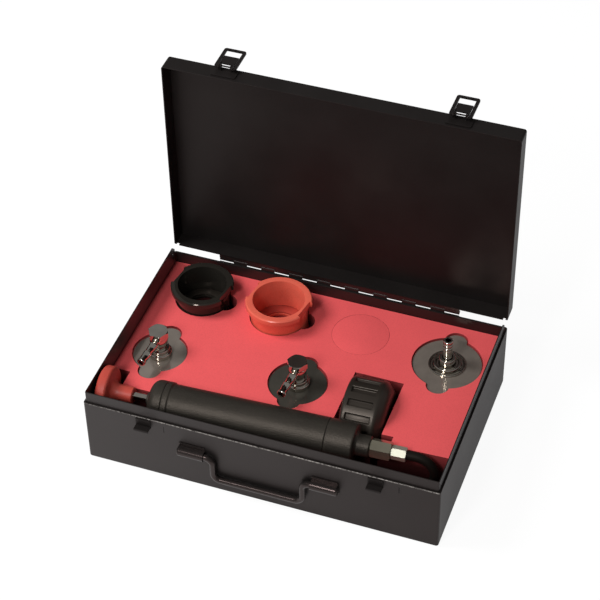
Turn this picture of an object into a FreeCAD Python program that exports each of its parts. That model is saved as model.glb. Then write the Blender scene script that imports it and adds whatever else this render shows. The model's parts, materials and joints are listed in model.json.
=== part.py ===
"""Radiator pressure tester kit: a steel case with a foam tray that holds a hand pump with its
gauge and hose, two filler-neck cups and three test caps.

Units are millimetres.  The origin is the middle of the case's bottom face: X runs along the
case's long side, Y from the front wall to the hinge, Z up.  The case stands open, as it is used.
"""
import FreeCAD, Part
import Sketcher
import os
import math

doc = FreeCAD.newDocument("PressureTester")
sheet = doc.addObject("Spreadsheet::Sheet", "Dim")

# ---------------------------------------------------------------------------------------------
# Driving dimensions.  Each one is a cell of the sheet; the text says what it measures.
# ---------------------------------------------------------------------------------------------
DRIVING = {
    "case_w": (355, "case, outside length along X"),
    "case_d": (230, "case, outside depth along Y"),
    "base_h": (74.5, "base, height of the ledge that the lid closes on"),
    "lid_h": (19, "lid, outside depth"),
    "steel": (1.0, "case sheet thickness"),
    "bend_r": (2.5, "case, outside radius of the bent corners"),
    "hem_h": (9, "base, height of the folded hem along the rim"),
    "lid_gap": (0.3, "play between the closed lid and the base"),
    "lid_side_inset": (0.5, "lid, how far its side walls stand inside the base's"),
    "lid_front_inset": (0.4, "lid, how far its front wall stands behind the base's"),
    "lid_rear_inset": (3.9, "lid, how far its rear wall stands in front of the base's"),
    "lip_bend_r": (1.5, "dust lip, outside radius of its corners"),
    "lip_end": (6, "dust lip, its ends from the base's rear wall"),
    "lid_open": (90, "angle at which the lid stands open, degrees"),
    "lip_h": (13, "dust lip, height above the ledge"),
    "lip_root": (8.5, "dust lip, height below the ledge"),
    "lip_hole_l": (7, "dust lip, length of the slot at its rear end"),
    "knuckle_r": (2.1, "piano hinge, outside radius of a knuckle"),
    "leaf_t": (0.9, "piano hinge, leaf thickness"),
    "leaf_h": (15, "piano hinge, height of a leaf on its wall"),
    "pin_r": (1.0, "piano hinge, pin radius"),
    "pin_play": (0.05, "running play of a pin in its bore, on the radius"),
    "hinge_len": (255, "piano hinge, length"),
    "knuckle_gap": (0.4, "piano hinge, gap between neighbouring knuckles"),
    "knuckle_rise": (2.8, "piano hinge, axis above the base's ledge"),
    "latch_inset": (62, "latches, middle of each from the side of the case"),
    "latch_plate_w": (25, "latch plate, width"),
    "latch_plate_h": (13, "latch plate, height"),
    "latch_plate_t": (1.0, "latch plate, thickness"),
    "latch_rise": (13.5, "latch lever axis above the ledge"),
    "latch_out": (5.2, "latch lever axis, distance from the lid's wall"),
    "latch_toggle": (2.2, "latch, loop axis from the lever axis"),
    "latch_pin_r": (0.8, "latch, radius of both axles"),
    "lever_w": (15, "latch lever, width"),
    "lever_l": (15.5, "latch lever, reach from its axis"),
    "lever_t": (1.2, "latch lever, sheet thickness"),
    "loop_play": (0.5, "latch loop, side play on the lever"),
    "loop_leg_w": (3.2, "latch loop, width of a leg"),
    "loop_t": (1.6, "latch loop, strip thickness"),
    "loop_l": (29.5, "latch loop, reach from its axis to the outer edge of its bar"),
    "loop_bar": (2.8, "latch loop, height of its bar"),
    "keeper_w": (15, "keeper, width"),
    "keeper_h": (9, "keeper, height of its plate"),
    "keeper_out": (6.2, "keeper, how far its hook stands out from the wall"),
    "keeper_t": (1.2, "keeper, sheet thickness"),
    "part_gap": (0.3, "play between a stored part and what it rests on"),
    "rod_r": (3.3, "carry handle, rod radius"),
    "handle_x": (67, "carry handle, middle of a bracket from the middle of the case"),
    "handle_z": (46, "carry handle, height of its axis"),
    "handle_drop": (27, "carry handle, grip below the axis"),
    "handle_grip": (90, "carry handle, length between the lower bends"),
    "handle_bend_r": (8, "carry handle, centre-line radius of its bends"),
    "strap_w": (27, "handle bracket, width"),
    "strap_t": (1.2, "handle bracket, sheet thickness"),
    "strap_flange": (5, "handle bracket, height of each flange"),
    "strap_play": (0.3, "handle bracket, play round the rod"),
    "foam_drop": (13.5, "foam tray, top face below the ledge"),
    "foam_play": (0.3, "foam tray, play to the case walls"),
    "foam_fit": (1.0, "foam tray, play round what lies in a pocket"),
    "foam_floor": (7, "foam tray, height of its deepest floor"),
    "foam_well": (32, "foam tray, depth of the wells under the caps and of the loose plug"),
    "knob_travel": (3.5, "pump knob, how far it can be pushed in while stored"),
    "pump_y": (-75.5, "pump axis, Y where it crosses the middle of the case"),
    "pump_z": (64, "pump axis, height"),
    "pump_skew": (2.45, "pump axis, turn in plan, degrees"),
    "grip_r": (19.6, "pump, radius of the sleeve over the barrel"),
    "band_r": (20.8, "pump, radius of the cap and of the sleeve's end band"),
    "band_l": (6, "pump, length of the sleeve's end band"),
    "tube_r": (17, "pump barrel, outside radius"),
    "tube_bore_r": (15.2, "pump barrel, bore radius"),
    "cap_x": (-125, "pump, outer end of the rod cap"),
    "sleeve_x": (-107, "pump, seam between rod cap and sleeve"),
    "head_x": (55, "pump, seam between sleeve and head"),
    "collar_x": (82.5, "pump head, end of the collar"),
    "neck_x": (97, "pump head, end of the neck"),
    "nut_x": (117, "hose nut, end"),
    "ferrule_x": (131.5, "hose ferrule, end"),
    "collar_r": (19.6, "pump head, collar radius"),
    "neck_r": (10.5, "pump head, neck radius"),
    "nut_af": (16.5, "hose nut, width across flats"),
    "ferrule_af": (12, "hose ferrule, width across flats"),
    "pump_rod_r": (4, "pump rod, radius"),
    "knob_x": (-172.5, "pump knob, outer face"),
    "knob_r": (24, "pump knob, disc radius"),
    "knob_t": (11, "pump knob, disc thickness"),
    "stem_r": (8.2, "pump knob, stem radius"),
    "stem_x": (-140, "pump knob, inner end of its stem"),
    "piston_x": (24, "piston, rear face"),
    "piston_l": (12, "piston, length"),
    "piston_play": (0.4, "piston, play in the barrel on the radius"),
    "hose_r": (4.6, "hose, outside radius"),
    "gauge_x": (58, "gauge boot, dial side, along the pump"),
    "gauge_tilt": (19.4, "gauge stem, slope down from the pump, degrees"),
    "gauge_stem_r": (4.2, "gauge stem, radius"),
    "gauge_stem_x": (14, "gauge stem, behind the dial side of the boot"),
    "hose_turn_x": (159, "hose, its turn below the nut, furthest point of its centre line"),
    "hose_drop": (40, "hose, lower run below the pump axis"),
    "hose_end_x": (-60, "hose, end in its coupler"),
    "hose_turn_r": (19.5, "hose, centre-line radius of the turn"),
    "coupler_r": (8, "hose coupler, radius"),
    "coupler_l": (32, "hose coupler, length"),
    "socket_r": (5.2, "hose coupler, radius of its socket"),
    "socket_l": (17, "hose coupler, depth of its socket"),
    "boot_r": (37.5, "gauge boot, outside radius"),
    "boot_w": (35, "gauge boot, width of its band of bars"),
    "boot_taper": (7, "gauge boot, length of its tapered back"),
    "boot_play": (0.1, "gauge boot, clearance to the collar of the pump's head"),
    "boot_tread": (2, "gauge boot, depth of the recesses between its bars"),
    "boot_wall": (5.5, "gauge boot, wall round the gauge case"),
    "gauge_case_w": (27, "gauge case, depth"),
    "gauge_case_t": (1.2, "gauge case, wall thickness"),
    "cup_black_x": (-129.4, "black cup, X"),
    "cup_red_x": (-47.1, "red cup, X"),
    "cup_y": (72, "cups, Y"),
    "cup_black_r": (32, "black cup, rim radius"),
    "cup_red_r": (33.5, "red cup, rim radius"),
    "cup_black_rise": (19, "black cup, rim above the foam"),
    "cup_red_rise": (22, "red cup, rim above the foam"),
    "cup_depth": (16, "cups, how deep they stand in the foam"),
    "cup_wall": (2.6, "cups, wall thickness"),
    "cup_rim_h": (6, "cups, height of the rim flange"),
    "cup_rim_out": (4.5, "cups, rim flange beyond the wall"),
    "cup_rim_slope": (1.5, "cups, height of the slope under the rim flange"),
    "cup_turn": (-10, "cups, turn in plan, degrees"),
    "cup_floor_r": (16, "cups, radius of the hole in the floor"),
    "cup_seal_t": (2, "cups, seal thickness"),
    "cup_groove": (0.6, "cups, how far the seal's groove is cut into the wall"),
    "cup_gap": (24, "cups, width of the gap in the rim flange at either side"),
    "cap_right_x": (131.7, "right test cap, X"),
    "cap_right_y": (61.5, "right test cap, Y"),
    "cap_right_r": (34, "right test cap, plate radius"),
    "cap_right_tip": (42.5, "right test cap, lobe tip from its middle"),
    "cap_mid_x": (2.4, "middle test cap, X"),
    "cap_mid_y": (-11, "middle test cap, Y"),
    "cap_mid_r": (28.5, "middle test cap, plate radius"),
    "cap_mid_tip": (35.5, "middle test cap, lobe tip from its middle"),
    "cap_left_x": (-140.6, "left test cap, X"),
    "cap_left_y": (-15, "left test cap, Y"),
    "cap_left_r": (26.5, "left test cap, plate radius"),
    "cap_left_tip": (37, "left test cap, lobe tip from its middle"),
    "plate_drop": (2, "test caps, plate top below the foam's"),
    "plate_t": (1.2, "test caps, plate thickness"),
    "lobe_r": (10.5, "test caps, lobe end radius"),
    "arm_r": (4.25, "banjo union, arm radius"),
    "arm_start": (10, "banjo union, inner end of the arm's full thickness"),
    "arm_end": (37, "banjo union, outer end of its arm from the bolt"),
    "plug_x": (39, "uncut foam plug, X"),
    "plug_y": (72, "uncut foam plug, Y"),
    "plug_r": (28.5, "uncut foam plug, radius"),
}

sheet.set("A1", "name")
sheet.set("B1", "value")
sheet.set("C1", "what it is")
for row, (alias, (value, meaning)) in enumerate(DRIVING.items(), start=2):
    sheet.set(f"A{row}", alias)
    sheet.set(f"B{row}", str(value))
    sheet.set(f"C{row}", meaning)
    sheet.setAlias(f"B{row}", alias)
doc.recompute()


class Size:
    """A number that also knows its formula over the sheet, so that it can be bound to a property."""

    def __init__(self, value, formula):
        self.value = value
        self.formula = formula

    def __add__(self, other):
        other = as_size(other)
        return Size(self.value + other.value, f"({self.formula} + {other.formula})")

    def __sub__(self, other):
        other = as_size(other)
        return Size(self.value - other.value, f"({self.formula} - {other.formula})")

    def __mul__(self, other):
        other = as_size(other)
        return Size(self.value * other.value, f"({self.formula} * {other.formula})")

    def __truediv__(self, other):
        other = as_size(other)
        return Size(self.value / other.value, f"({self.formula} / {other.formula})")

    def __neg__(self):
        return Size(-self.value, f"(-1 * {self.formula})")

    def __radd__(self, other):
        return as_size(other) + self

    def __rsub__(self, other):
        return as_size(other) - self

    def __rmul__(self, other):
        return as_size(other) * self


def as_size(number):
    """The number itself if it is a Size already, or a plain number as one."""
    if isinstance(number, Size):
        return number
    return Size(float(number), repr(float(number)))


def cell(alias):
    """The sheet's cell as a Size."""
    return Size(float(sheet.get(alias)), f"Dim.{alias}")


def sine(angle):
    """Sine of an angle in degrees."""
    return Size(math.sin(math.radians(angle.value)), f"sin({angle.formula} * 1deg)")


def cosine(angle):
    """Cosine of an angle in degrees."""
    return Size(math.cos(math.radians(angle.value)), f"cos({angle.formula} * 1deg)")


# ---------------------------------------------------------------------------------------------
# Tools for making a sub-part feature by feature.
# ---------------------------------------------------------------------------------------------
PARTS = []
TOLERANCE = 1e-4


class Piece:
    """One sub-part: a body of the document and the features that make it."""

    def __init__(self, label):
        self.body = doc.addObject("PartDesign::Body", label)
        self.body.Label = label
        PARTS.append(self.body)

    def sketch(self, role, offset=None):
        """A new sketch on one of the body's own origin planes, moved along the plane's normal."""
        plane = next(f for f in self.body.Origin.OriginFeatures if f.Role == role)
        sketch = self.body.newObject("Sketcher::SketchObject", "Sketch")
        sketch.AttachmentSupport = [(plane, "")]
        sketch.MapMode = "FlatFace"
        if offset is not None:
            sketch.setExpression("AttachmentOffset.Base.z", as_size(offset).formula)
        return sketch

    def feature(self, kind, profile):
        feature = self.body.newObject("PartDesign::" + kind, kind)
        feature.Profile = profile
        profile.Visibility = False
        return feature

    def pad(self, profile, length, symmetric=False, reverse=False):
        """Adds the profile's extrusion along the plane's normal, or against it."""
        pad = self.feature("Pad", profile)
        pad.setExpression("Length", as_size(length).formula)
        pad.SideType = "Symmetric" if symmetric else "One side"
        pad.Reversed = reverse
        doc.recompute()
        return pad

    def pocket(self, profile, length, symmetric=False, reverse=False):
        """Cuts the profile's extrusion, against the plane's normal unless reversed."""
        before = self.volume()
        pocket = self.feature("Pocket", profile)
        pocket.setExpression("Length", as_size(length).formula)
        pocket.SideType = "Symmetric" if symmetric else "One side"
        pocket.Reversed = reverse
        doc.recompute()
        self.must_have_cut(before)
        return pocket

    def revolve(self, profile, axis="H_Axis"):
        """Adds the profile turned right round an axis of its sketch."""
        turned = self.feature("Revolution", profile)
        turned.ReferenceAxis = (profile, [axis])
        turned.Angle = 360
        doc.recompute()
        return turned

    def groove(self, profile, axis="H_Axis"):
        """Cuts the profile turned right round an axis of its sketch."""
        before = self.volume()
        groove = self.feature("Groove", profile)
        groove.ReferenceAxis = (profile, [axis])
        groove.Angle = 360
        doc.recompute()
        self.must_have_cut(before)
        return groove

    def sweep(self, profile, path):
        """Adds the profile drawn along the path."""
        pipe = self.feature("AdditivePipe", profile)
        pipe.Spine = path
        path.Visibility = False
        doc.recompute()
        return pipe

    def repeat_along(self, features, sketch, length, count):
        """Repeats features evenly over a length along the normal of a sketch."""
        row = self.body.newObject("PartDesign::LinearPattern", "LinearPattern")
        row.Originals = features
        row.Direction = (sketch, ["N_Axis"])
        row.setExpression("Length", as_size(length).formula)
        row.Occurrences = count
        self.body.Tip = row
        doc.recompute()
        return row

    def repeat_round(self, features, sketch, axis, count):
        """Repeats features evenly right round an axis of a sketch."""
        ring = self.body.newObject("PartDesign::PolarPattern", "PolarPattern")
        ring.Originals = features
        ring.Axis = (sketch, [axis])
        ring.Angle = 360
        ring.Occurrences = count
        self.body.Tip = ring
        doc.recompute()
        return ring

    def mirror(self, features, role="YZ_Plane"):
        """Repeats features on the other side of one of the body's origin planes."""
        plane = next(f for f in self.body.Origin.OriginFeatures if f.Role == role)
        twin = self.body.newObject("PartDesign::Mirrored", "Mirrored")
        twin.Originals = features
        twin.MirrorPlane = (plane, [""])
        self.body.Tip = twin
        doc.recompute()
        return twin

    def fillet(self, radius, chosen):
        """Rounds the edges that the test picks."""
        base = self.body.Tip
        names = [f"Edge{n}" for n, edge in enumerate(base.Shape.Edges, start=1) if chosen(edge)]
        if not names:
            raise RuntimeError(f"{self.body.Label}: no edge to round")
        fillet = self.body.newObject("PartDesign::Fillet", "Fillet")
        fillet.Base = (base, names)
        fillet.setExpression("Radius", as_size(radius).formula)
        doc.recompute()
        return fillet

    def volume(self):
        return self.body.Tip.Shape.Volume

    def must_have_cut(self, before):
        if self.volume() > before - TOLERANCE:
            raise RuntimeError(f"{self.body.Label}: {self.body.Tip.Name} cuts nothing")

    def place(self, x=0, y=0, z=0, yaw=0, roll=0):
        """Moves the finished body: its origin to a point, turned about X by roll, then Z by yaw."""
        spot = "; ".join(as_size(size).formula for size in (x, y, z))
        turn = f"{as_size(yaw).formula}; 0; {as_size(roll).formula}"
        self.body.setExpression("Placement", f"placement(vector({spot}); rotation({turn}))")
        doc.recompute()


def hold(sketch, kind, geometry, point, size):
    """Holds one coordinate of a point of a sketch, or the radius of a circle, at a size."""
    size = as_size(size)
    if kind == "Radius":
        index = sketch.addConstraint(Sketcher.Constraint(kind, geometry, size.value))
    else:
        index = sketch.addConstraint(Sketcher.Constraint(kind, geometry, point, size.value))
    sketch.setExpression(f"Constraints[{index}]", size.formula)


def vector(point):
    return FreeCAD.Vector(as_size(point[0]).value, as_size(point[1]).value, 0)


def outline(sketch, points):
    """A closed run of straight lines through the points."""
    first = sketch.GeometryCount
    count = len(points)
    for n in range(count):
        line = Part.LineSegment(vector(points[n]), vector(points[(n + 1) % count]))
        sketch.addGeometry(line)
    for n in range(count):
        following = first + (n + 1) % count
        sketch.addConstraint(Sketcher.Constraint("Coincident", first + n, 2, following, 1))
    for n, (across, up) in enumerate(points):
        hold(sketch, "DistanceX", first + n, 1, across)
        hold(sketch, "DistanceY", first + n, 1, up)


def rectangle(sketch, left, right, low, high):
    outline(sketch, [(left, low), (right, low), (right, high), (left, high)])


def circle(sketch, across, up, radius):
    ring = Part.Circle(vector((across, up)), FreeCAD.Vector(0, 0, 1), as_size(radius).value)
    index = sketch.addGeometry(ring)
    hold(sketch, "DistanceX", index, 3, across)
    hold(sketch, "DistanceY", index, 3, up)
    hold(sketch, "Radius", index, 0, radius)


def rounded_rectangle(sketch, left, right, low, high, radius):
    """A rectangle with the same arc at its four corners."""
    middles = [
        (right - radius, high - radius),
        (left + radius, high - radius),
        (left + radius, low + radius),
        (right - radius, low + radius),
    ]
    first = sketch.GeometryCount
    for n, middle in enumerate(middles):
        ring = Part.Circle(vector(middle), FreeCAD.Vector(0, 0, 1), as_size(radius).value)
        sketch.addGeometry(Part.ArcOfCircle(ring, n * math.pi / 2, (n + 1) * math.pi / 2))
    for n, middle in enumerate(middles):
        arc = first + n
        hold(sketch, "DistanceX", arc, 3, middle[0])
        hold(sketch, "DistanceY", arc, 3, middle[1])
        hold(sketch, "Radius", arc, 0, radius)
        start, end = ("Horizontal", "Vertical") if n % 2 == 0 else ("Vertical", "Horizontal")
        sketch.addConstraint(Sketcher.Constraint(start, arc, 3, arc, 1))
        sketch.addConstraint(Sketcher.Constraint(end, arc, 3, arc, 2))
    for n in range(4):
        following = first + (n + 1) % 4
        start = sketch.getPoint(first + n, 2)
        end = sketch.getPoint(following, 1)
        line = sketch.addGeometry(Part.LineSegment(start, end))
        sketch.addConstraint(Sketcher.Constraint("Coincident", first + n, 2, line, 1))
        sketch.addConstraint(Sketcher.Constraint("Coincident", line, 2, following, 1))


def hexagon(sketch, across_flats, across=0, up=0):
    """A hexagon round a point, held by its six corners."""
    reach = across_flats / 2 / cosine(as_size(30))
    points = []
    for n in range(6):
        angle = as_size(60 * n)
        points.append((across + reach * cosine(angle), up + reach * sine(angle)))
    outline(sketch, points)


def bent_path(sketch, points, radii):
    """Straight runs through the points, joined at the inner ones by tangent arcs."""
    spots = [vector(p) for p in points]
    bends = []
    for n, radius in enumerate(radii, start=1):
        back = (spots[n - 1] - spots[n]).normalize()
        ahead = (spots[n + 1] - spots[n]).normalize()
        half = back.getAngle(ahead) / 2
        reach = as_size(radius).value / math.tan(half)
        towards = (back + ahead).normalize()
        middle = spots[n] + towards * (as_size(radius).value / math.sin(half))
        nearest = middle - towards * as_size(radius).value
        bends.append((spots[n] + back * reach, nearest, spots[n] + ahead * reach))
    starts = [spots[0]] + [bend[2] for bend in bends]
    ends = [bend[0] for bend in bends] + [spots[-1]]
    lines = [sketch.addGeometry(Part.LineSegment(a, b)) for a, b in zip(starts, ends)]
    hold(sketch, "DistanceX", lines[0], 1, points[0][0])
    hold(sketch, "DistanceY", lines[0], 1, points[0][1])
    hold(sketch, "DistanceX", lines[-1], 2, points[-1][0])
    hold(sketch, "DistanceY", lines[-1], 2, points[-1][1])
    for n, (bend, radius) in enumerate(zip(bends, radii), start=1):
        arc = sketch.addGeometry(Part.Arc(*bend))
        first, second = arc_ends(sketch, arc, bend)
        sketch.addConstraint(Sketcher.Constraint("Tangent", lines[n - 1], 2, arc, first))
        sketch.addConstraint(Sketcher.Constraint("Tangent", arc, second, lines[n], 1))
        hold(sketch, "Radius", arc, 0, radius)
        corner = sketch.addGeometry(Part.Point(spots[n]), True)
        sketch.addConstraint(Sketcher.Constraint("PointOnObject", corner, 1, lines[n - 1]))
        sketch.addConstraint(Sketcher.Constraint("PointOnObject", corner, 1, lines[n]))
        hold(sketch, "DistanceX", corner, 1, points[n][0])
        hold(sketch, "DistanceY", corner, 1, points[n][1])


def arc_ends(sketch, arc, bend):
    """The numbers of an arc's points at the start and at the end of its bend."""
    near_start = (sketch.getPoint(arc, 1) - bend[0]).Length < (sketch.getPoint(arc, 2) - bend[0]).Length
    return (1, 2) if near_start else (2, 1)


def same(a, b):
    return abs(a - as_size(b).value) < 1e-3


def level_at(edge, height):
    """True for an edge that lies in the plane Z = height."""
    return same(edge.BoundBox.ZMin, height) and same(edge.BoundBox.ZMax, height)


# ---------------------------------------------------------------------------------------------
# Sizes that follow from the driving ones.
# ---------------------------------------------------------------------------------------------
half_w = cell("case_w") / 2
half_d = cell("case_d") / 2
base_h = cell("base_h")
steel = cell("steel")
bend_r = cell("bend_r")
knuckle_r = cell("knuckle_r")
leaf_t = cell("leaf_t")
pin_r = cell("pin_r")
pin_play = cell("pin_play")
part_gap = cell("part_gap")

latch_x = half_w - cell("latch_inset")
foam_well = cell("foam_well")

# The hinge is an odd number of knuckles: the lid's at both ends, the base's between them.
BASE_KNUCKLES = 8
LID_KNUCKLES = BASE_KNUCKLES + 1
knuckle_pitch = cell("hinge_len") / (BASE_KNUCKLES + LID_KNUCKLES)
hinge_y = half_d + knuckle_r
hinge_z = base_h + cell("knuckle_rise")
foam_top = base_h - cell("foam_drop")
foam_x = half_w - steel - cell("foam_play")
foam_y = half_d - steel - cell("foam_play")

# The closed lid, measured from the hinge axis.
lid_x = half_w - cell("lid_side_inset")
lid_front = cell("lid_front_inset") - half_d - hinge_y
lid_rear = half_d - cell("lid_rear_inset") - hinge_y
lid_rim = cell("lid_gap") - cell("knuckle_rise")
lid_top = lid_rim + cell("lid_h")

# The latch lever's axis on the closed lid, measured from the hinge axis.
lever_y = lid_front - cell("latch_out")
lever_z = cell("latch_rise") - cell("knuckle_rise")


# ---------------------------------------------------------------------------------------------
# Case.
# ---------------------------------------------------------------------------------------------
def base_shell():
    """Deep half of the case: bent sheet with its rim folded over to the inside."""
    piece = Piece("base_shell")
    block = piece.sketch("XY_Plane")
    rounded_rectangle(block, -half_w, half_w, -half_d, half_d, bend_r)
    piece.pad(block, base_h)
    piece.fillet(bend_r - steel / 2, lambda edge: level_at(edge, 0))
    hem = 2 * steel
    mouth = piece.sketch("XY_Plane", base_h)
    rounded_rectangle(mouth, hem - half_w, half_w - hem, hem - half_d, half_d - hem, bend_r - hem)
    piece.pocket(mouth, cell("hem_h"))
    inner_x = half_w - steel
    inner_y = half_d - steel
    room = piece.sketch("XY_Plane", base_h - cell("hem_h"))
    rounded_rectangle(room, -inner_x, inner_x, -inner_y, inner_y, bend_r - steel)
    piece.pocket(room, base_h - cell("hem_h") - steel)


def base_lip():
    """Dust lip: a strip inside the rim at the front and the sides, standing up into the lid."""
    piece = Piece("base_lip")
    x = half_w - 2 * steel
    y = half_d - 2 * steel
    corner = cell("lip_bend_r")
    low = base_h - cell("lip_root")
    top = base_h + cell("lip_h")
    ring = piece.sketch("XY_Plane", low)
    rounded_rectangle(ring, -x, x, -y, y, corner)
    piece.pad(ring, top - low)
    inside = piece.sketch("XY_Plane", top)
    rounded_rectangle(inside, steel - x, x - steel, steel - y, y - steel, corner - steel)
    piece.pocket(inside, top - low)
    end = half_d - cell("lip_end")
    point = 5
    ends = piece.sketch("YZ_Plane")
    outline(ends, [
        (end, low - 1),
        (half_d, low - 1),
        (half_d, top + 1),
        (end - point, top + 1),
        (end - point, top),
        (end, top - point),
    ])
    piece.pocket(ends, 2 * half_w, symmetric=True)
    slot = piece.sketch("YZ_Plane")
    slot_y = end - 5
    slot_z = base_h + 2.4
    slot_half_w = 1.2
    slot_half_l = cell("lip_hole_l") / 2
    rectangle(slot, slot_y - slot_half_w, slot_y + slot_half_w, slot_z - slot_half_l, slot_z + slot_half_l)
    piece.pocket(slot, 2 * half_w, symmetric=True)


def lid_shell():
    """Shallow half of the case, drawn closed with the hinge axis as its origin."""
    piece = Piece("lid_shell")
    block = piece.sketch("XY_Plane", lid_rim)
    rounded_rectangle(block, -lid_x, lid_x, lid_front, lid_rear, bend_r)
    piece.pad(block, cell("lid_h"))
    piece.fillet(bend_r - steel / 2, lambda edge: level_at(edge, lid_top))
    inside = piece.sketch("XY_Plane", lid_rim)
    inner_x = lid_x - steel
    rounded_rectangle(inside, -inner_x, inner_x, lid_front + steel, lid_rear - steel, bend_r - steel)
    piece.pocket(inside, cell("lid_h") - steel, reverse=True)
    notch_x = 5
    notch_z = 3
    notch = piece.sketch("XY_Plane", lid_rim)
    rectangle(notch, -lid_x - 1, notch_x - lid_x, lid_rear - steel, lid_rear + 1)
    left = piece.pocket(notch, notch_z, reverse=True)
    piece.mirror([left])
    place_on_lid(piece)


def place_on_lid(piece, x=0, y=0, z=0):
    """Moves a body drawn closed, with its origin at a point of the lid, onto the open lid."""
    opened = cell("lid_open")
    y = as_size(y)
    z = as_size(z)
    piece.place(
        x,
        hinge_y + y * cosine(opened) + z * sine(opened),
        hinge_z + z * cosine(opened) - y * sine(opened),
        roll=-opened,
    )


# ---------------------------------------------------------------------------------------------
# Piano hinge, drawn round its axis.
# ---------------------------------------------------------------------------------------------
def knuckle_row(piece, first, count, tab_box):
    """Rings round the hinge axis with a tab to the leaf, from a place in the row every second one."""
    start = first * knuckle_pitch - cell("hinge_len") / 2 + cell("knuckle_gap") / 2
    length = knuckle_pitch - cell("knuckle_gap")
    rings = piece.sketch("YZ_Plane", start)
    circle(rings, 0, 0, knuckle_r)
    ring = piece.pad(rings, length)
    tab_face = piece.sketch("YZ_Plane", start)
    rectangle(tab_face, *tab_box)
    tab = piece.pad(tab_face, length)
    piece.repeat_along([ring, tab], rings, 2 * (count - 1) * knuckle_pitch, count)


def hinge_bore(piece):
    bore = piece.sketch("YZ_Plane")
    circle(bore, 0, 0, pin_r + pin_play)
    piece.pocket(bore, cell("hinge_len") + 2, symmetric=True)


def hinge_base_leaf():
    piece = Piece("hinge_base_leaf")
    ledge = -cell("knuckle_rise")
    plate = piece.sketch("YZ_Plane")
    rectangle(plate, -knuckle_r, leaf_t - knuckle_r, ledge - cell("leaf_h"), ledge)
    piece.pad(plate, cell("hinge_len"), symmetric=True)
    knuckle_row(piece, 1, BASE_KNUCKLES, (-knuckle_r, leaf_t - knuckle_r, ledge, 0))
    hinge_bore(piece)
    piece.place(0, hinge_y, hinge_z)


def hinge_lid_leaf():
    """Lid half of the hinge: it lies on the lid's rear wall, with a flange out to the rings."""
    piece = Piece("hinge_lid_leaf")
    plate = piece.sketch("YZ_Plane")
    rectangle(plate, lid_rear, lid_rear + leaf_t, -knuckle_r, cell("leaf_h") - knuckle_r)
    piece.pad(plate, cell("hinge_len"), symmetric=True)
    flange = piece.sketch("YZ_Plane")
    rectangle(flange, lid_rear, -knuckle_r - part_gap, -knuckle_r, leaf_t - knuckle_r)
    piece.pad(flange, cell("hinge_len"), symmetric=True)
    tab_box = (-knuckle_r - part_gap, 0, -knuckle_r, leaf_t - knuckle_r)
    knuckle_row(piece, 0, LID_KNUCKLES, tab_box)
    hinge_bore(piece)
    place_on_lid(piece)


def hinge_pin():
    piece = Piece("hinge_pin")
    round_face = piece.sketch("YZ_Plane")
    circle(round_face, 0, 0, pin_r)
    piece.pad(round_face, cell("hinge_len"), symmetric=True)
    piece.place(0, hinge_y, hinge_z)


# ---------------------------------------------------------------------------------------------
# Toggle latches.  Each is drawn closed round the lever's axis, with the lever turned up.
# ---------------------------------------------------------------------------------------------
ear_x = 4.6
ear_t = 1.2
side_x = 6.2


def latch_plate(name, x):
    """Plate on the lid's front wall with two ears and the axle riveted into them."""
    piece = Piece(name)
    wall = cell("latch_out")
    face = wall - cell("latch_plate_t")
    half_plate = cell("latch_plate_w") / 2
    above = 2.5
    plate = piece.sketch("XZ_Plane", -wall)
    rounded_rectangle(
        plate, -half_plate, half_plate, above - cell("latch_plate_h"), as_size(above), as_size(2)
    )
    piece.pad(plate, cell("latch_plate_t"))
    ear_r = 2.0
    ear = piece.sketch("YZ_Plane", ear_x)
    rectangle(ear, 0, face, -ear_r, ear_r)
    web = piece.pad(ear, ear_t)
    tip = piece.sketch("YZ_Plane", ear_x)
    circle(tip, 0, 0, ear_r)
    end = piece.pad(tip, ear_t)
    piece.mirror([web, end])
    axle = piece.sketch("YZ_Plane")
    circle(axle, 0, 0, cell("latch_pin_r"))
    piece.pad(axle, cell("lever_w"), symmetric=True)
    place_on_lid(piece, x, lever_y, lever_z)


def latch_lever(name, x):
    """Lever with two bored sides, a flat web between them and a lip for the finger."""
    piece = Piece(name)
    reach = cell("lever_l")
    half_web = cell("lever_t") / 2
    half_side = 1.7
    half_heel = 0.9
    heel = -3.8
    heel_bevel = 0.8
    side_top = 3.2
    web_start = 6
    lip = 2.2
    side_t = cell("lever_w") / 2 - side_x
    side = piece.sketch("YZ_Plane", side_x)
    outline(side, [
        (-half_heel, heel),
        (half_heel, heel),
        (half_side, heel + heel_bevel),
        (half_side, side_top),
        (half_web, web_start),
        (half_web, reach),
        (-half_web, reach),
        (-half_web, web_start),
        (-half_side, side_top),
        (-half_side, heel + heel_bevel),
    ])
    cheek = piece.pad(side, side_t)
    web_face = piece.sketch("YZ_Plane")
    rectangle(web_face, -half_web, half_web, side_top, reach)
    piece.pad(web_face, cell("lever_w"), symmetric=True)
    piece.mirror([cheek])
    lip_face = piece.sketch("YZ_Plane")
    rectangle(lip_face, -half_web, lip, reach - cell("lever_t"), reach)
    piece.pad(lip_face, cell("lever_w"), symmetric=True)
    bores = piece.sketch("YZ_Plane")
    circle(bores, 0, 0, cell("latch_pin_r") + pin_play)
    circle(bores, 0, -cell("latch_toggle"), cell("latch_pin_r") + pin_play)
    piece.pocket(bores, cell("lever_w") + 1, symmetric=True)
    place_on_lid(piece, x, lever_y, lever_z)


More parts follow.
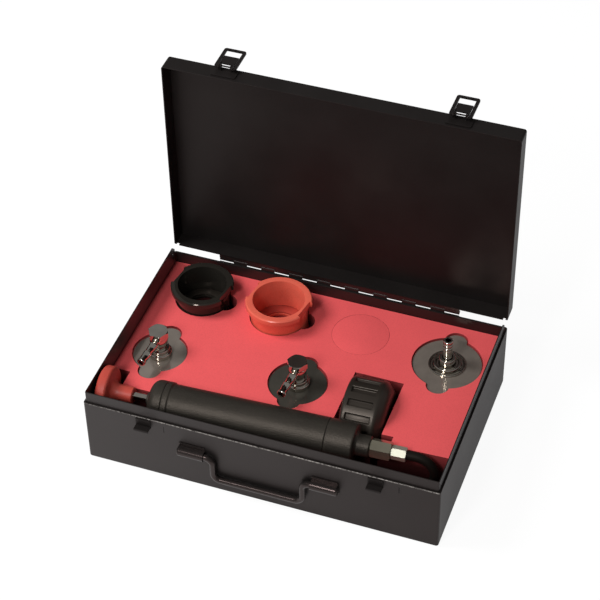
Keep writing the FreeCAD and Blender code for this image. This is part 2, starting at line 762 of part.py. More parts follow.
def latch_loop(name, x):
    """Flat strip loop round the lever, with two short axles that enter the lever's sides."""
    piece = Piece(name)
    inner = cell("lever_w") / 2 + cell("loop_play")
    outer = inner + cell("loop_leg_w")
    top = cell("loop_l")
    heel = 1.2
    strip = piece.sketch("XZ_Plane")
    rounded_rectangle(strip, -outer, outer, as_size(-heel), top, as_size(2.6))
    piece.pad(strip, cell("loop_t"), symmetric=True)
    window = piece.sketch("XZ_Plane")
    rectangle(window, -inner, inner, -heel - 1, top - cell("loop_bar"))
    piece.pocket(window, cell("loop_t") + 1, symmetric=True)
    axle = piece.sketch("YZ_Plane", side_x)
    circle(axle, 0, 0, cell("latch_pin_r"))
    stub = piece.pad(axle, inner + 1 - side_x)
    piece.mirror([stub])
    place_on_lid(piece, x, lever_y, lever_z - cell("latch_toggle"))


def keeper(name, x):
    """Keeper on the base's front wall: a plate with a hook that the loop's bar pulls up against."""
    piece = Piece(name)
    hook_z = (
        base_h + cell("latch_rise") + cell("latch_toggle") - cell("loop_l") + cell("loop_bar") + part_gap
    )
    thick = cell("keeper_t")
    out = cell("keeper_out")
    drop = 1.3
    profile = piece.sketch("YZ_Plane")
    outline(profile, [
        (0, -thick),
        (0, cell("keeper_h")),
        (-thick, cell("keeper_h")),
        (-thick, thick),
        (-out - thick, thick),
        (-out - thick, -drop),
        (-out, -drop),
        (-out, 0),
        (-thick, 0),
        (-thick, -thick),
    ])
    piece.pad(profile, cell("keeper_w"), symmetric=True)
    piece.place(x, -half_d, hook_z)


# ---------------------------------------------------------------------------------------------
# Carry handle.
# ---------------------------------------------------------------------------------------------
handle_y = -half_d - cell("rod_r") - 2 * cell("strap_play")


def handle_bracket(name, x):
    """Half pipe over one end of the handle, with a flange above and below."""
    piece = Piece(name)
    bore = cell("rod_r") + cell("strap_play")
    outer = bore + cell("strap_t")
    wall = bore + cell("strap_play")
    width = cell("strap_w")
    round_part = piece.sketch("YZ_Plane")
    circle(round_part, 0, 0, outer)
    piece.pad(round_part, width, symmetric=True)
    root = piece.sketch("YZ_Plane")
    rectangle(root, 0, wall, -outer, outer)
    piece.pad(root, width, symmetric=True)
    flange = piece.sketch("YZ_Plane")
    reach = outer + cell("strap_flange")
    rectangle(flange, wall - cell("strap_t"), wall, -reach, reach)
    piece.pad(flange, width, symmetric=True)
    tunnel = piece.sketch("YZ_Plane")
    circle(tunnel, 0, 0, bore)
    piece.pocket(tunnel, width + 1, symmetric=True)
    mouth = piece.sketch("YZ_Plane")
    rectangle(mouth, 0, wall + 1, -bore, bore)
    piece.pocket(mouth, width + 1, symmetric=True)
    piece.place(x, handle_y, cell("handle_z"))


def carry_handle():
    """Bail: two stubs in the brackets, two short drops and the grip between them."""
    piece = Piece("carry_handle")
    end = cell("handle_x") + cell("strap_w") / 2 - 1
    grip = cell("handle_grip") / 2
    drop = cell("handle_drop")
    bend = cell("handle_bend_r")
    path = piece.sketch("XZ_Plane")
    bent_path(
        path,
        [(-end, 0), (-grip, 0), (-grip, -drop), (grip, -drop), (grip, 0), (end, 0)],
        [bend, bend, bend, bend],
    )
    rod = piece.sketch("YZ_Plane", -end)
    circle(rod, 0, 0, cell("rod_r"))
    piece.sweep(rod, path)
    piece.place(0, handle_y, cell("handle_z"))


# ---------------------------------------------------------------------------------------------
# Foam tray.
# ---------------------------------------------------------------------------------------------
skew = cell("pump_skew")
gauge_reach = cell("collar_r") + cell("boot_r") + cell("boot_play")


def in_plan(along, aside):
    """Plan position of a point given along the pump's axis and beside it."""
    x = as_size(along) * cosine(skew) - as_size(aside) * sine(skew)
    y = cell("pump_y") + as_size(along) * sine(skew) + as_size(aside) * cosine(skew)
    return (x, y)


def foam_pocket(piece, floor, draw):
    """Cuts what the function draws from the tray's top face down to a floor."""
    sketch = piece.sketch("XY_Plane", foam_top)
    draw(sketch)
    piece.pocket(sketch, foam_top - floor)


# How far a cut runs out past the tray's side, and the play of the troughs round the pump.
overrun = 5
trough_play = 0.5


def foam_insert():
    """Foam tray with a pocket for each stored piece, cut down from its top face."""
    piece = Piece("foam_insert")
    block = piece.sketch("XY_Plane", steel)
    rounded_rectangle(block, -foam_x, foam_x, -foam_y, foam_y, bend_r - steel)
    piece.pad(block, foam_top - steel)
    pump_troughs(piece)
    for colour in ("black", "red"):
        cup_pocket(piece, colour)
    for side in ("right", "mid", "left"):
        cap_pocket(piece, side)
    foam_pocket(piece, foam_top - foam_well, lambda sketch: circle(
        sketch, cell("plug_x"), cell("plug_y"), cell("plug_r") + part_gap))


def pump_troughs(piece):
    """Pockets for the barrel with the nut, for the knob, for the hose and for the gauge."""
    front = -foam_y - overrun
    pump_y = cell("pump_y")
    nut_y = pump_y + 15
    hose_y = pump_y + 11.5
    rod_y = pump_y + 6.5
    barrel_floor = cell("pump_z") - cell("band_r") - part_gap
    barrel_side = cell("band_r") + trough_play
    nut_entry = 4
    barrel_right = in_plan(cell("nut_x") - nut_entry, barrel_side)
    barrel_left = in_plan(cell("cap_x"), barrel_side)
    turn_end = cell("hose_turn_x") + 7
    foam_pocket(piece, barrel_floor, lambda sketch: outline(sketch, [
        (cell("knob_x"), front),
        (foam_x + overrun, front),
        (foam_x + overrun, hose_y),
        (turn_end, hose_y),
        (barrel_right[0], nut_y),
        barrel_right,
        barrel_left,
        (barrel_left[0], rod_y),
        (cell("knob_x"), rod_y),
    ]))
    knob_floor = cell("pump_z") - cell("knob_r") - 1
    knob_end = cell("knob_x") + cell("knob_t") + cell("knob_travel") + trough_play
    knob_y = pump_y + 25.5
    foam_pocket(piece, knob_floor, lambda sketch: rectangle(
        sketch, -foam_x - overrun, knob_end, front, knob_y))
    hose_floor = cell("pump_z") - cell("hose_drop") - cell("coupler_r") - 1
    hose_left = cell("hose_end_x") - cell("coupler_l") - 2
    hose_right = cell("hose_turn_x") + 13
    hose_side = cell("coupler_r") + 1.5
    foam_pocket(piece, hose_floor, lambda sketch: outline(sketch, [
        in_plan(hose_left, -hose_side),
        in_plan(hose_right, -hose_side),
        in_plan(hose_right, hose_side),
        in_plan(hose_left, hose_side),
    ]))
    gauge_side = 7.3
    gauge_left = cell("gauge_x") - gauge_side
    gauge_right = cell("gauge_x") + cell("boot_w") + gauge_side
    gauge_front = pump_y + 13.5
    gauge_rear = in_plan(gauge_right, gauge_reach * cosine(cell("gauge_tilt")) + cell("boot_r"))
    foam_pocket(piece, cell("foam_floor"), lambda sketch: rectangle(
        sketch, gauge_left, gauge_right, gauge_front, gauge_rear[1] + part_gap))


def cup_pocket(piece, colour):
    """Round pocket of a cup with a finger hold at its +X side."""
    floor = foam_top - cell("cup_depth")
    x = cell(f"cup_{colour}_x")
    y = cell("cup_y")
    wall_r = cup_wall_r(colour)
    notch_in = 3.5
    notch_r = 12
    foam_pocket(piece, floor, lambda sketch: circle(sketch, x, y, wall_r + cell("foam_fit")))
    foam_pocket(piece, floor, lambda sketch: circle(sketch, x + wall_r - notch_in, y, notch_r))


def cap_pocket(piece, side):
    """Shallow recess in the outline of a cap's plate, and a well for what hangs below it."""
    floor = foam_top - cell("plate_drop") - cell("plate_t") - part_gap
    x = cell(f"cap_{side}_x")
    y = cell(f"cap_{side}_y")
    play = cell("foam_fit")
    reach = cell(f"cap_{side}_tip") + play
    radius = cell(f"cap_{side}_r") + play
    lobe = cell("lobe_r") + play
    foam_pocket(piece, floor, lambda sketch: circle(sketch, x, y, radius))
    foam_pocket(piece, floor, lambda sketch: rounded_rectangle(
        sketch, x - lobe, x + lobe, y - reach, y + reach, lobe - 0.5))
    foam_pocket(piece, foam_top - foam_well, lambda sketch: circle(
        sketch, x, y, cap_seal_r + 3 * play))


def foam_plug():
    """Round piece of foam that is cut free all round and left in its place."""
    piece = Piece("foam_plug")
    face = piece.sketch("XY_Plane")
    circle(face, 0, 0, cell("plug_r"))
    piece.pad(face, foam_well)
    piece.place(cell("plug_x"), cell("plug_y"), foam_top - foam_well)


# ---------------------------------------------------------------------------------------------
# Filler-neck cups.
# ---------------------------------------------------------------------------------------------
def cup_wall_r(colour):
    return cell(f"cup_{colour}_r") - cell("cup_rim_out")


def cup(name, colour):
    """Adapter cup: a floor with a hole, a wall with a groove for its seal, and a rim flange with a
    gap at either side."""
    piece = Piece(name)
    rim_r = cell(f"cup_{colour}_r")
    wall_r = cup_wall_r(colour)
    height = cell("cup_depth") + cell(f"cup_{colour}_rise") - part_gap
    floor_t = cell("cup_wall")
    bore_r = wall_r - floor_t
    groove = bore_r + cell("cup_groove")
    groove_top = floor_t + cell("cup_seal_t") + part_gap
    hole = cell("cup_floor_r")
    rim_low = height - cell("cup_rim_h")
    slope = cell("cup_rim_slope")
    bevel = 1
    profile = piece.sketch("XZ_Plane")
    outline(profile, [
        (hole, 0),
        (wall_r, 0),
        (wall_r, rim_low - slope),
        (rim_r, rim_low),
        (rim_r, height - bevel),
        (rim_r - bevel, height),
        (bore_r, height),
        (bore_r, groove_top),
        (groove, groove_top),
        (groove, floor_t),
        (hole, floor_t),
    ])
    piece.revolve(profile, "V_Axis")
    gap = piece.sketch("XY_Plane", height)
    half_gap = cell("cup_gap") / 2
    rectangle(gap, wall_r - part_gap, rim_r + 1, -half_gap, half_gap)
    cut = piece.pocket(gap, cell("cup_rim_h") + slope)
    piece.mirror([cut])
    low = foam_top - cell("cup_depth") + part_gap
    piece.place(cell(f"cup_{colour}_x"), cell("cup_y"), low, yaw=cell("cup_turn"))


def cup_seal(name, colour):
    piece = Piece(name)
    outer = cup_wall_r(colour) - cell("cup_wall") + cell("cup_groove")
    profile = piece.sketch("XZ_Plane")
    rectangle(profile, cell("cup_floor_r") + 1, outer, 0, cell("cup_seal_t"))
    piece.revolve(profile, "V_Axis")
    low = foam_top - cell("cup_depth") + part_gap + cell("cup_wall")
    piece.place(cell(f"cup_{colour}_x"), cell("cup_y"), low)


# ---------------------------------------------------------------------------------------------
# Test caps.  Each is drawn with the bottom of its plate at the origin.
# ---------------------------------------------------------------------------------------------
shank_r = 6
seal_t = 5
washer_t = 2
washer_r = 15
cap_seal_r = 20
cap_z = foam_top - cell("plate_drop") - cell("plate_t")


def place_cap(piece, side, yaw=0):
    piece.place(cell(f"cap_{side}_x"), cell(f"cap_{side}_y"), cap_z, yaw=yaw)


def cap_plate(name, side):
    """Chromed plate: a disc with a lobe on either side and a hole for the shank."""
    piece = Piece(name)
    radius = cell(f"cap_{side}_r")
    tip = cell(f"cap_{side}_tip")
    lobe = cell("lobe_r")
    disc = piece.sketch("XY_Plane")
    circle(disc, 0, 0, radius)
    piece.pad(disc, cell("plate_t"))
    ends = piece.sketch("XY_Plane")
    rounded_rectangle(ends, -lobe, lobe, -tip, tip, lobe - 0.5)
    piece.pad(ends, cell("plate_t"))
    hole = piece.sketch("XY_Plane", cell("plate_t"))
    circle(hole, 0, 0, shank_r)
    piece.pocket(hole, cell("plate_t"))
    place_cap(piece, side)


def cap_collar(name, side, steps, bore_r, bore_low):
    """Stepped collar on the plate, its shank through it and the washer that holds the seal."""
    piece = Piece(name)
    low = cell("plate_t")
    points = [
        (0, -seal_t - washer_t),
        (washer_r, -seal_t - washer_t),
        (washer_r, -seal_t),
        (shank_r, -seal_t),
        (shank_r, low),
    ]
    for radius, top in steps:
        points += [(radius, low), (radius, top)]
        low = top
    points.append((0, low))
    profile = piece.sketch("XZ_Plane")
    outline(profile, points)
    piece.revolve(profile, "V_Axis")
    bore = piece.sketch("XY_Plane", low)
    circle(bore, 0, 0, bore_r)
    piece.pocket(bore, low - bore_low)
    place_cap(piece, side)


def cap_seal(name, side):
    piece = Piece(name)
    profile = piece.sketch("XZ_Plane")
    bevel = 3
    outline(profile, [
        (shank_r, 0),
        (shank_r, -seal_t),
        (cap_seal_r - bevel, -seal_t),
        (cap_seal_r, bevel - seal_t),
        (cap_seal_r, 0),
    ])
    piece.revolve(profile, "V_Axis")
    place_cap(piece, side)


union_low = 16.7
union_h = 9
union_r = 9
arm_bore_r = 2.4
bolt_r = 4
bolt_low = 6
bolt_af = 18
bolt_head = 6.5


def banjo(name, side):
    """Union ring under the bolt head, with a hollow arm for a hose that has a neck at its root."""
    piece = Piece(name)
    ring = piece.sketch("XY_Plane", union_low)
    circle(ring, 0, 0, union_r)
    piece.pad(ring, union_h)
    arm_r = cell("arm_r")
    arm_z = union_low + union_h / 2
    neck = piece.sketch("XZ_Plane")
    circle(neck, 0, arm_z, arm_r - 0.5)
    piece.pad(neck, cell("arm_start"))
    arm = piece.sketch("XZ_Plane", cell("arm_start"))
    circle(arm, 0, arm_z, arm_r)
    piece.pad(arm, cell("arm_end") - cell("arm_start"))
    channel = piece.sketch("XZ_Plane", cell("arm_end"))
    circle(channel, 0, arm_z, arm_bore_r)
    piece.pocket(channel, cell("arm_end") - bolt_r / 2)
    hole = piece.sketch("XY_Plane", union_low + union_h)
    circle(hole, 0, 0, bolt_r)
    piece.pocket(hole, union_h)
    place_cap(piece, side, -5.6)


def cap_bolt(name, side):
    """Hexagon bolt that holds the union ring on the collar."""
    piece = Piece(name)
    low = union_low + union_h
    high = low + bolt_head
    head = piece.sketch("XY_Plane", low)
    hexagon(head, as_size(bolt_af))
    piece.pad(head, bolt_head)
    bevel = piece.sketch("XZ_Plane")
    start = bolt_af / 2 - 0.2
    end = bolt_af * 0.64
    outline(bevel, [(start, high + 0.1), (end, high - 1.5), (end, high + 0.1)])
    piece.groove(bevel, "V_Axis")
    shank = piece.sketch("XY_Plane", bolt_low)
    circle(shank, 0, 0, bolt_r)
    piece.pad(shank, low - bolt_low)
    place_cap(piece, side)


barb_low = 4.2
barb_high = 4.9
nipple_bore_r = 2.8
nipple_low = 2
nipple_root_r = 4.5

# The steps of the two kinds of collar: radius of each and height of its top above the plate.
NIPPLE_STEPS = [(18.5, 5), (14, 9), (8, 15)]
UNION_STEPS = [(12, 6.2), (10, 10.5), (7, union_low)]


def cap_nipple():
    """Upright hose nipple of the right cap: a flange, a neck and three barbs."""
    piece = Piece("cap_right_nipple")
    flange_low = 15
    flange_top = 18
    points = [
        (nipple_bore_r, nipple_low),
        (nipple_root_r, nipple_low),
        (nipple_root_r, flange_low),
        (6, flange_low),
        (6, flange_top),
        (barb_low, flange_top),
    ]
    for low in (22, 26, 30):
        points += [(barb_low, low), (barb_high, low)]
    top = 34.4
    points += [(barb_low - 0.2, top), (nipple_bore_r, top)]
    profile = piece.sketch("XZ_Plane")
    outline(profile, points)
    piece.revolve(profile, "V_Axis")
    place_cap(piece, "right")


# ---------------------------------------------------------------------------------------------
# Hand pump.  Its sub-parts are drawn along X with the pump's axis through the origin.
# ---------------------------------------------------------------------------------------------
def place_on_pump(piece, x=0, y=0, z=0, roll=0):
    spot = in_plan(x, y)
    piece.place(spot[0], spot[1], cell("pump_z") + z, yaw=skew, roll=roll)


def turned_part(name, points):
    """A body turned round the pump's axis from a half section."""
    piece = Piece(name)
    profile = piece.sketch("XY_Plane")
    outline(profile, points)
    piece.revolve(profile)
    return piece


tube_r = cell("tube_r")
bore_r = cell("tube_bore_r")
tube_left = cell("sleeve_x") - 5.5
tube_right = cell("head_x") - 3
rod_r = cell("pump_rod_r")
guide_r = 6


def pump_barrel():
    piece = turned_part("pump_barrel", [
        (tube_left, bore_r), (tube_left, tube_r), (tube_right, tube_r), (tube_right, bore_r),
    ])
    place_on_pump(piece)


def barrel_sleeve():
    left = cell("sleeve_x")
    band = left + cell("band_l")
    right = cell("head_x")
    piece = turned_part("barrel_sleeve", [
        (left, tube_r),
        (left, cell("band_r")),
        (band, cell("band_r")),
        (band, cell("grip_r")),
        (right - 1, cell("grip_r")),
        (right, cell("grip_r") - 1),
        (right, tube_r),
    ])
    place_on_pump(piece)


def rod_end_cap():
    left = cell("cap_x")
    seam = cell("sleeve_x")
    cone_l = 7.5
    piece = turned_part("rod_end_cap", [
        (left, guide_r),
        (left, guide_r + 1),
        (left + cone_l, cell("band_r")),
        (seam, cell("band_r")),
        (seam, tube_r),
        (tube_left, tube_r),
        (tube_left, guide_r),
    ])
    place_on_pump(piece)


def rod_guide_bush():
    left = cell("cap_x") - 0.6
    right = tube_left + 2.5
    flange_r = guide_r + 2
    bore = rod_r + pin_play
    piece = turned_part("rod_guide_bush", [
        (left, bore),
        (left, guide_r),
        (tube_left, guide_r),
        (tube_left, flange_r),
        (right, flange_r),
        (right, bore),
    ])
    place_on_pump(piece)


plug_left = 44
chamber_r = 5
chamber_end = 56
passage_r = 3
duct_r = 1.5
socket_floor = cell("collar_r") - 3


def pump_head():
    """Head: a plug in the barrel's end, a collar with the gauge's socket, and a neck."""
    plug_end = cell("head_x")
    collar = cell("collar_x")
    neck = cell("neck_x")
    piece = turned_part("pump_head", [
        (plug_left, chamber_r),
        (plug_left, bore_r),
        (tube_right, bore_r),
        (tube_right, tube_r),
        (plug_end, tube_r),
        (plug_end, cell("collar_r")),
        (collar - 1, cell("collar_r")),
        (collar, cell("collar_r") - 1),
        (collar, cell("neck_r")),
        (neck, cell("neck_r")),
        (neck, passage_r),
        (chamber_end, passage_r),
        (chamber_end, chamber_r),
    ])
    stem_x = cell("gauge_x") + cell("gauge_stem_x")
    socket = piece.sketch("XZ_Plane", socket_floor * -1)
    circle(socket, stem_x, 0, cell("gauge_stem_r"))
    piece.pocket(socket, 6)
    duct = piece.sketch("XZ_Plane")
    circle(duct, stem_x, 0, duct_r)
    piece.pocket(duct, socket_floor + 1)
    place_on_pump(piece, roll=-cell("gauge_tilt"))


def check_valve():
    """Valve body in the head's chamber, with a bore through it."""
    left = plug_left + 1
    valve_bore_r = 1.2
    piece = turned_part("check_valve", [
        (left, valve_bore_r),
        (left, chamber_r),
        (chamber_end, chamber_r),
        (chamber_end, valve_bore_r),
    ])
    place_on_pump(piece)


def hex_part(name, start, end, across_flats, bore):
    """Hexagon along the pump's axis with bevelled corners and a bore."""
    piece = Piece(name)
    face = piece.sketch("YZ_Plane", start)
    hexagon(face, across_flats)
    piece.pad(face, end - start)
    flat = across_flats / 2
    corner = across_flats * 0.62
    slope = 1.4
    bevel = piece.sketch("XY_Plane")
    outline(bevel, [(start, flat), (start, corner), (start + slope, corner)])
    outline(bevel, [(end, flat), (end - slope, corner), (end, corner)])
    piece.groove(bevel)
    hole = piece.sketch("YZ_Plane", end)
    circle(hole, 0, 0, bore)
    piece.pocket(hole, end - start)
    place_on_pump(piece)


knob_socket = 10


def pump_rod():
    left = cell("stem_x") - knob_socket
    right = cell("piston_x") + cell("piston_l")
    piece = turned_part("pump_rod", [(left, 0), (left, rod_r), (right, rod_r), (right, 0)])
    place_on_pump(piece)


def pump_knob():
    left = cell("knob_x")
    inner = left + cell("knob_t")
    rim = cell("knob_r")
    stem = cell("stem_r")
    end = cell("stem_x")
    piece = turned_part("pump_knob", [
        (left, 0),
        (left, rim - 3),
        (left + 3, rim),
        (inner - 3, rim),
        (inner, rim - 3),
        (inner, stem + 4),
        (inner + 4, stem),
        (end, stem),
        (end, rod_r),
        (end - knob_socket, rod_r),
        (end - knob_socket, 0),
    ])
    place_on_pump(piece)


piston_r = cell("tube_bore_r") - cell("piston_play")
groove_start = cell("piston_x") + 4.5
groove_end = groove_start + 3
groove_r = 12.5


def piston():
    left = cell("piston_x")
    right = left + cell("piston_l")
    piece = turned_part("piston", [
        (left, rod_r),
        (left, piston_r),
        (groove_start, piston_r),
        (groove_start, groove_r),
        (groove_end, groove_r),
        (groove_end, piston_r),
        (right, piston_r),
        (right, rod_r),
    ])
    place_on_pump(piece)


def piston_seal():
    lip = cell("tube_bore_r") - pin_play
    piece = turned_part("piston_seal", [
        (groove_start, groove_r), (groove_start, lip), (groove_end, lip), (groove_end, groove_r),
    ])
    place_on_pump(piece)


hose_start = cell("nut_x") + 2


def hose():
    """Hose: out of the ferrule, down in one wide turn and back under the barrel."""
    piece = Piece("hose")
    turn = cell("hose_turn_x")
    drop = cell("hose_drop")
    end = cell("hose_end_x")
    bend = cell("hose_turn_r")
    path = piece.sketch("XZ_Plane")
    bent_path(path, [(hose_start, 0), (turn, 0), (turn, -drop), (end, -drop)], [bend, bend])
    section = piece.sketch("YZ_Plane", hose_start)
    circle(section, 0, 0, cell("hose_r"))
    piece.sweep(section, path)
    place_on_pump(piece)
    runs = (turn - hose_start + drop + turn - end).value
    length = runs - 4 * bend.value + math.pi * bend.value
    by_volume = piece.volume() / (math.pi * cell("hose_r").value ** 2)
    print(f"hose: {length:.1f} mm along its path, {by_volume:.1f} mm by volume, turns {bend.value} mm")


def hose_coupler():
    """Coupler on the hose's end, with a socket for a cap's nipple: the hose enters it by 8 mm."""
    right = cell("hose_end_x")
    left = right - cell("coupler_l")
    outer = cell("coupler_r")
    hose_r = cell("hose_r")
    socket_r = cell("socket_r")
    floor = left + cell("socket_l")
    piece = turned_part("hose_coupler", [
        (left, socket_r),
        (left, outer - 1),
        (left + 1, outer),
        (right - 14, outer),
        (right - 14, outer - 1.5),
        (right + 8, outer - 1.5),
        (right + 8, hose_r),
        (right, hose_r),
        (right, passage_r),
        (floor, passage_r),
        (floor, socket_r),
    ])
    place_on_pump(piece, z=-cell("hose_drop"))


# ---------------------------------------------------------------------------------------------
# Gauge, drawn round its own axis with the dial towards -X and the stem towards -Y.
# ---------------------------------------------------------------------------------------------
def place_gauge(piece, turn=0):
    """Moves a part onto the gauge's axis, turned about it by an angle in degrees."""
    tilt = cell("gauge_tilt")
    y = gauge_reach * cosine(tilt)
    z = -gauge_reach * sine(tilt)
    place_on_pump(piece, cell("gauge_x"), y, z, roll=-tilt - turn)


case_r = cell("boot_r") - cell("boot_wall")
case_front = 3.5
case_back = case_front + cell("gauge_case_w")
case_wall = cell("gauge_case_t")


def stem_hole(piece, play):
    hole = piece.sketch("XZ_Plane")
    circle(hole, cell("gauge_stem_x"), 0, cell("gauge_stem_r") + play)
    piece.pocket(hole, cell("boot_r") + 1, reverse=True)


def gauge_boot():
    """Thick rubber boot round the gauge, with a lip in front of the lens, bars round its rim and a
    tapered back."""
    rim = cell("boot_r")
    width = cell("boot_w")
    tread = cell("boot_tread")
    taper = cell("boot_taper")
    bevel = 2
    lip = 3
    back_hole_r = 14
    piece = turned_part("gauge_boot", [
        (0, case_r - lip),
        (0, rim - bevel),
        (bevel, rim),
        (width - bevel, rim),
        (width, rim - bevel),
        (width + taper, rim - bevel - taper),
        (width + taper, back_hole_r),
        (case_back, back_hole_r),
        (case_back, case_r),
        (case_front, case_r),
        (case_front, case_r - lip),
    ])
    stem_hole(piece, part_gap)
    margin = 5.5
    half_recess = 6
    recess = piece.sketch("XY_Plane", rim - tread)
    rectangle(recess, margin, width - margin, -half_recess, half_recess)
    cut = piece.pocket(recess, tread + 1, reverse=True)
    piece.repeat_round([cut], recess, "H_Axis", 12)
    place_gauge(piece)


def gauge_case():
    piece = turned_part("gauge_case", [
        (case_front, case_r - case_wall),
        (case_front, case_r),
        (case_back, case_r),
        (case_back, 0),
        (case_back - case_wall, 0),
        (case_back - case_wall, case_r - case_wall),
    ])
    stem_hole(piece, as_size(0))
    place_gauge(piece)


def gauge_lens():
    front = case_front + 0.5
    piece = turned_part("gauge_lens", [
        (front, 0), (front, case_r - case_wall), (front + 2, case_r - case_wall), (front + 2, 0),
    ])
    place_gauge(piece)


dial_x = 9


def gauge_dial():
    outer = case_r - case_wall
    piece = turned_part("gauge_dial", [
        (dial_x, 1.3), (dial_x, outer), (dial_x + 0.8, outer), (dial_x + 0.8, 1.3),
    ])
    place_gauge(piece)


# The movement block: its end towards the pump, its thickness, and its back that carries the tube.
shaft_r = 0.9
block_end = 20.5
block_t = 5
block_back = cell("gauge_stem_x") + 3


def gauge_stem():
    """Stem from the pump's head into the gauge, and the movement block with its bearing on it."""
    piece = Piece("gauge_stem")
    foot = gauge_reach - socket_floor
    stem_x = cell("gauge_stem_x")
    half_block = 5
    rod = piece.sketch("XZ_Plane", block_end)
    circle(rod, stem_x, 0, cell("gauge_stem_r"))
    piece.pad(rod, foot - block_end)
    block = piece.sketch("YZ_Plane", block_back - block_t)
    rectangle(block, -block_end, half_block, -half_block, half_block)
    piece.pad(block, block_t)
    bearing = piece.sketch("YZ_Plane", block_back)
    circle(bearing, 0, 0, shaft_r + pin_play)
    piece.pocket(bearing, block_t)
    place_gauge(piece)


def bourdon_tube():
    """Spring tube of the gauge: three quarters of a ring from the movement block."""
    piece = Piece("bourdon_tube")
    ring_r = 17
    section_r = 2.2
    root_h = 3
    root_depth = 5
    section = piece.sketch("XY_Plane")
    circle(section, block_back + root_h, -ring_r, section_r)
    ring = piece.revolve(section)
    ring.Angle = 270
    root = piece.sketch("YZ_Plane", block_back)
    rectangle(root, -ring_r - section_r, root_depth - ring_r, -section_r, section_r)
    piece.pad(root, root_h)
    place_gauge(piece)


def gauge_pointer():
    piece = Piece("gauge_pointer")
    front = dial_x - 1.8
    hub_r = 3
    hub_t = 1.4
    blade_t = 0.8
    half_blade = 1.2
    tail = 10
    shoulder = -14
    tip = -25
    shaft_l = 7.5
    zero = 45
    hub = piece.sketch("YZ_Plane", front)
    circle(hub, 0, 0, hub_r)
    piece.pad(hub, hub_t)
    blade = piece.sketch("YZ_Plane", front + (hub_t - blade_t))
    outline(blade, [
        (-half_blade, tail),
        (-half_blade, shoulder),
        (0, tip),
        (half_blade, shoulder),
        (half_blade, tail),
    ])
    piece.pad(blade, blade_t)
    shaft = piece.sketch("YZ_Plane", front)
    circle(shaft, 0, 0, shaft_r)
    piece.pad(shaft, shaft_l)
    place_gauge(piece, zero)


# ---------------------------------------------------------------------------------------------
# The whole kit.
# ---------------------------------------------------------------------------------------------
base_shell()
base_lip()
lid_shell()
hinge_base_leaf()
hinge_lid_leaf()
hinge_pin()
for side, x in (("left", -latch_x), ("right", latch_x)):
    latch_plate(f"latch_plate_{side}", x)
    latch_lever(f"latch_lever_{side}", x)
    latch_loop(f"latch_loop_{side}", x)
    keeper(f"keeper_{side}", x)
handle_bracket("handle_bracket_left", -cell("handle_x"))
handle_bracket("handle_bracket_right", cell("handle_x"))
carry_handle()
foam_insert()
foam_plug()
for colour in ("black", "red"):
    cup(f"{colour}_adapter", colour)
    cup_seal(f"{colour}_adapter_seal", colour)
for side in ("right", "mid", "left"):
    cap_plate(f"cap_{side}_plate", side)
    cap_seal(f"cap_{side}_seal", side)
cap_collar("cap_right_collar", "right", NIPPLE_STEPS, nipple_root_r, nipple_low)
cap_nipple()
for side in ("mid", "left"):
    cap_collar(f"cap_{side}_collar", side, UNION_STEPS, bolt_r, bolt_low)
    banjo(f"cap_{side}_union", side)
    cap_bolt(f"cap_{side}_bolt", side)
pump_barrel()
barrel_sleeve()
rod_end_cap()
rod_guide_bush()
pump_head()
check_valve()
hex_part("hose_nut", cell("neck_x"), cell("nut_x"), cell("nut_af"), 3)
hex_part("hose_ferrule", cell("nut_x"), cell("ferrule_x"), cell("ferrule_af"), cell("hose_r"))
pump_rod()
pump_knob()
piston()
piston_seal()
hose()
hose_coupler()
gauge_boot()
gauge_case()
gauge_lens()
gauge_dial()
gauge_stem()
bourdon_tube()
gauge_pointer()

doc.recompute()
for thing in doc.Objects:
    if "Invalid" in thing.State or "Error" in thing.State:
        raise RuntimeError(f"{thing.Label} is not sound: {thing.State}")
os.makedirs("parts", exist_ok=True)
for body in PARTS:
    shape = body.Shape
    if shape.isNull() or not shape.isValid() or not shape.Solids:
        raise RuntimeError(f"{body.Label} has no sound solid")
    shape.exportStep(f"parts/{body.Label}.step")
print(len(PARTS), "sub-parts written")
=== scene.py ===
"""Radiator pressure tester kit: dresses the steel case, its foam tray and the tools that lie in it."""

import contextlib
import json
import math

import bpy
from mathutils import Matrix, Vector


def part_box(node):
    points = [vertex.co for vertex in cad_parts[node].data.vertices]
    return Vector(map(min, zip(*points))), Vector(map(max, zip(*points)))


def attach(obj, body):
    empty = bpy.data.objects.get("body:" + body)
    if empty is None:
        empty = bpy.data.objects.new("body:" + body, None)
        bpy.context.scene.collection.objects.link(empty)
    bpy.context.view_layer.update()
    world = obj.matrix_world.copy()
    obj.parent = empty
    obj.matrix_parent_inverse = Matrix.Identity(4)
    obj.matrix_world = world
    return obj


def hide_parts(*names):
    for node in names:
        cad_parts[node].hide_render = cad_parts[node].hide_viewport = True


bl_info = {
    "name": "Radiator pressure tester kit",
    "version": (1, 0, 0),
    "blender": (4, 5, 0),
    "location": "3D View > Sidebar > Tester kit",
    "description": "Dresses the case, foam tray, hand pump, cups and test caps",
    "category": "Object",
}

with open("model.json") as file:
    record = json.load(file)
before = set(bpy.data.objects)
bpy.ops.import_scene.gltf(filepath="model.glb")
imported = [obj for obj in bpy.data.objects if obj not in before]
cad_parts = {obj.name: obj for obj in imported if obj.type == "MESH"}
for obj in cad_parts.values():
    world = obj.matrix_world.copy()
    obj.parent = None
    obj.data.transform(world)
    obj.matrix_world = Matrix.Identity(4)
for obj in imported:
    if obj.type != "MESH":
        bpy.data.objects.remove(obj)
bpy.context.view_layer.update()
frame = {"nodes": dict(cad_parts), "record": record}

MM = 0.001
SLOTS = {name: node.material_slots[0].material.name for name, node in frame["nodes"].items()}
BODIES = {node: body for body, nodes in frame["record"]["behaviour"]["bodies"].items() for node in nodes}

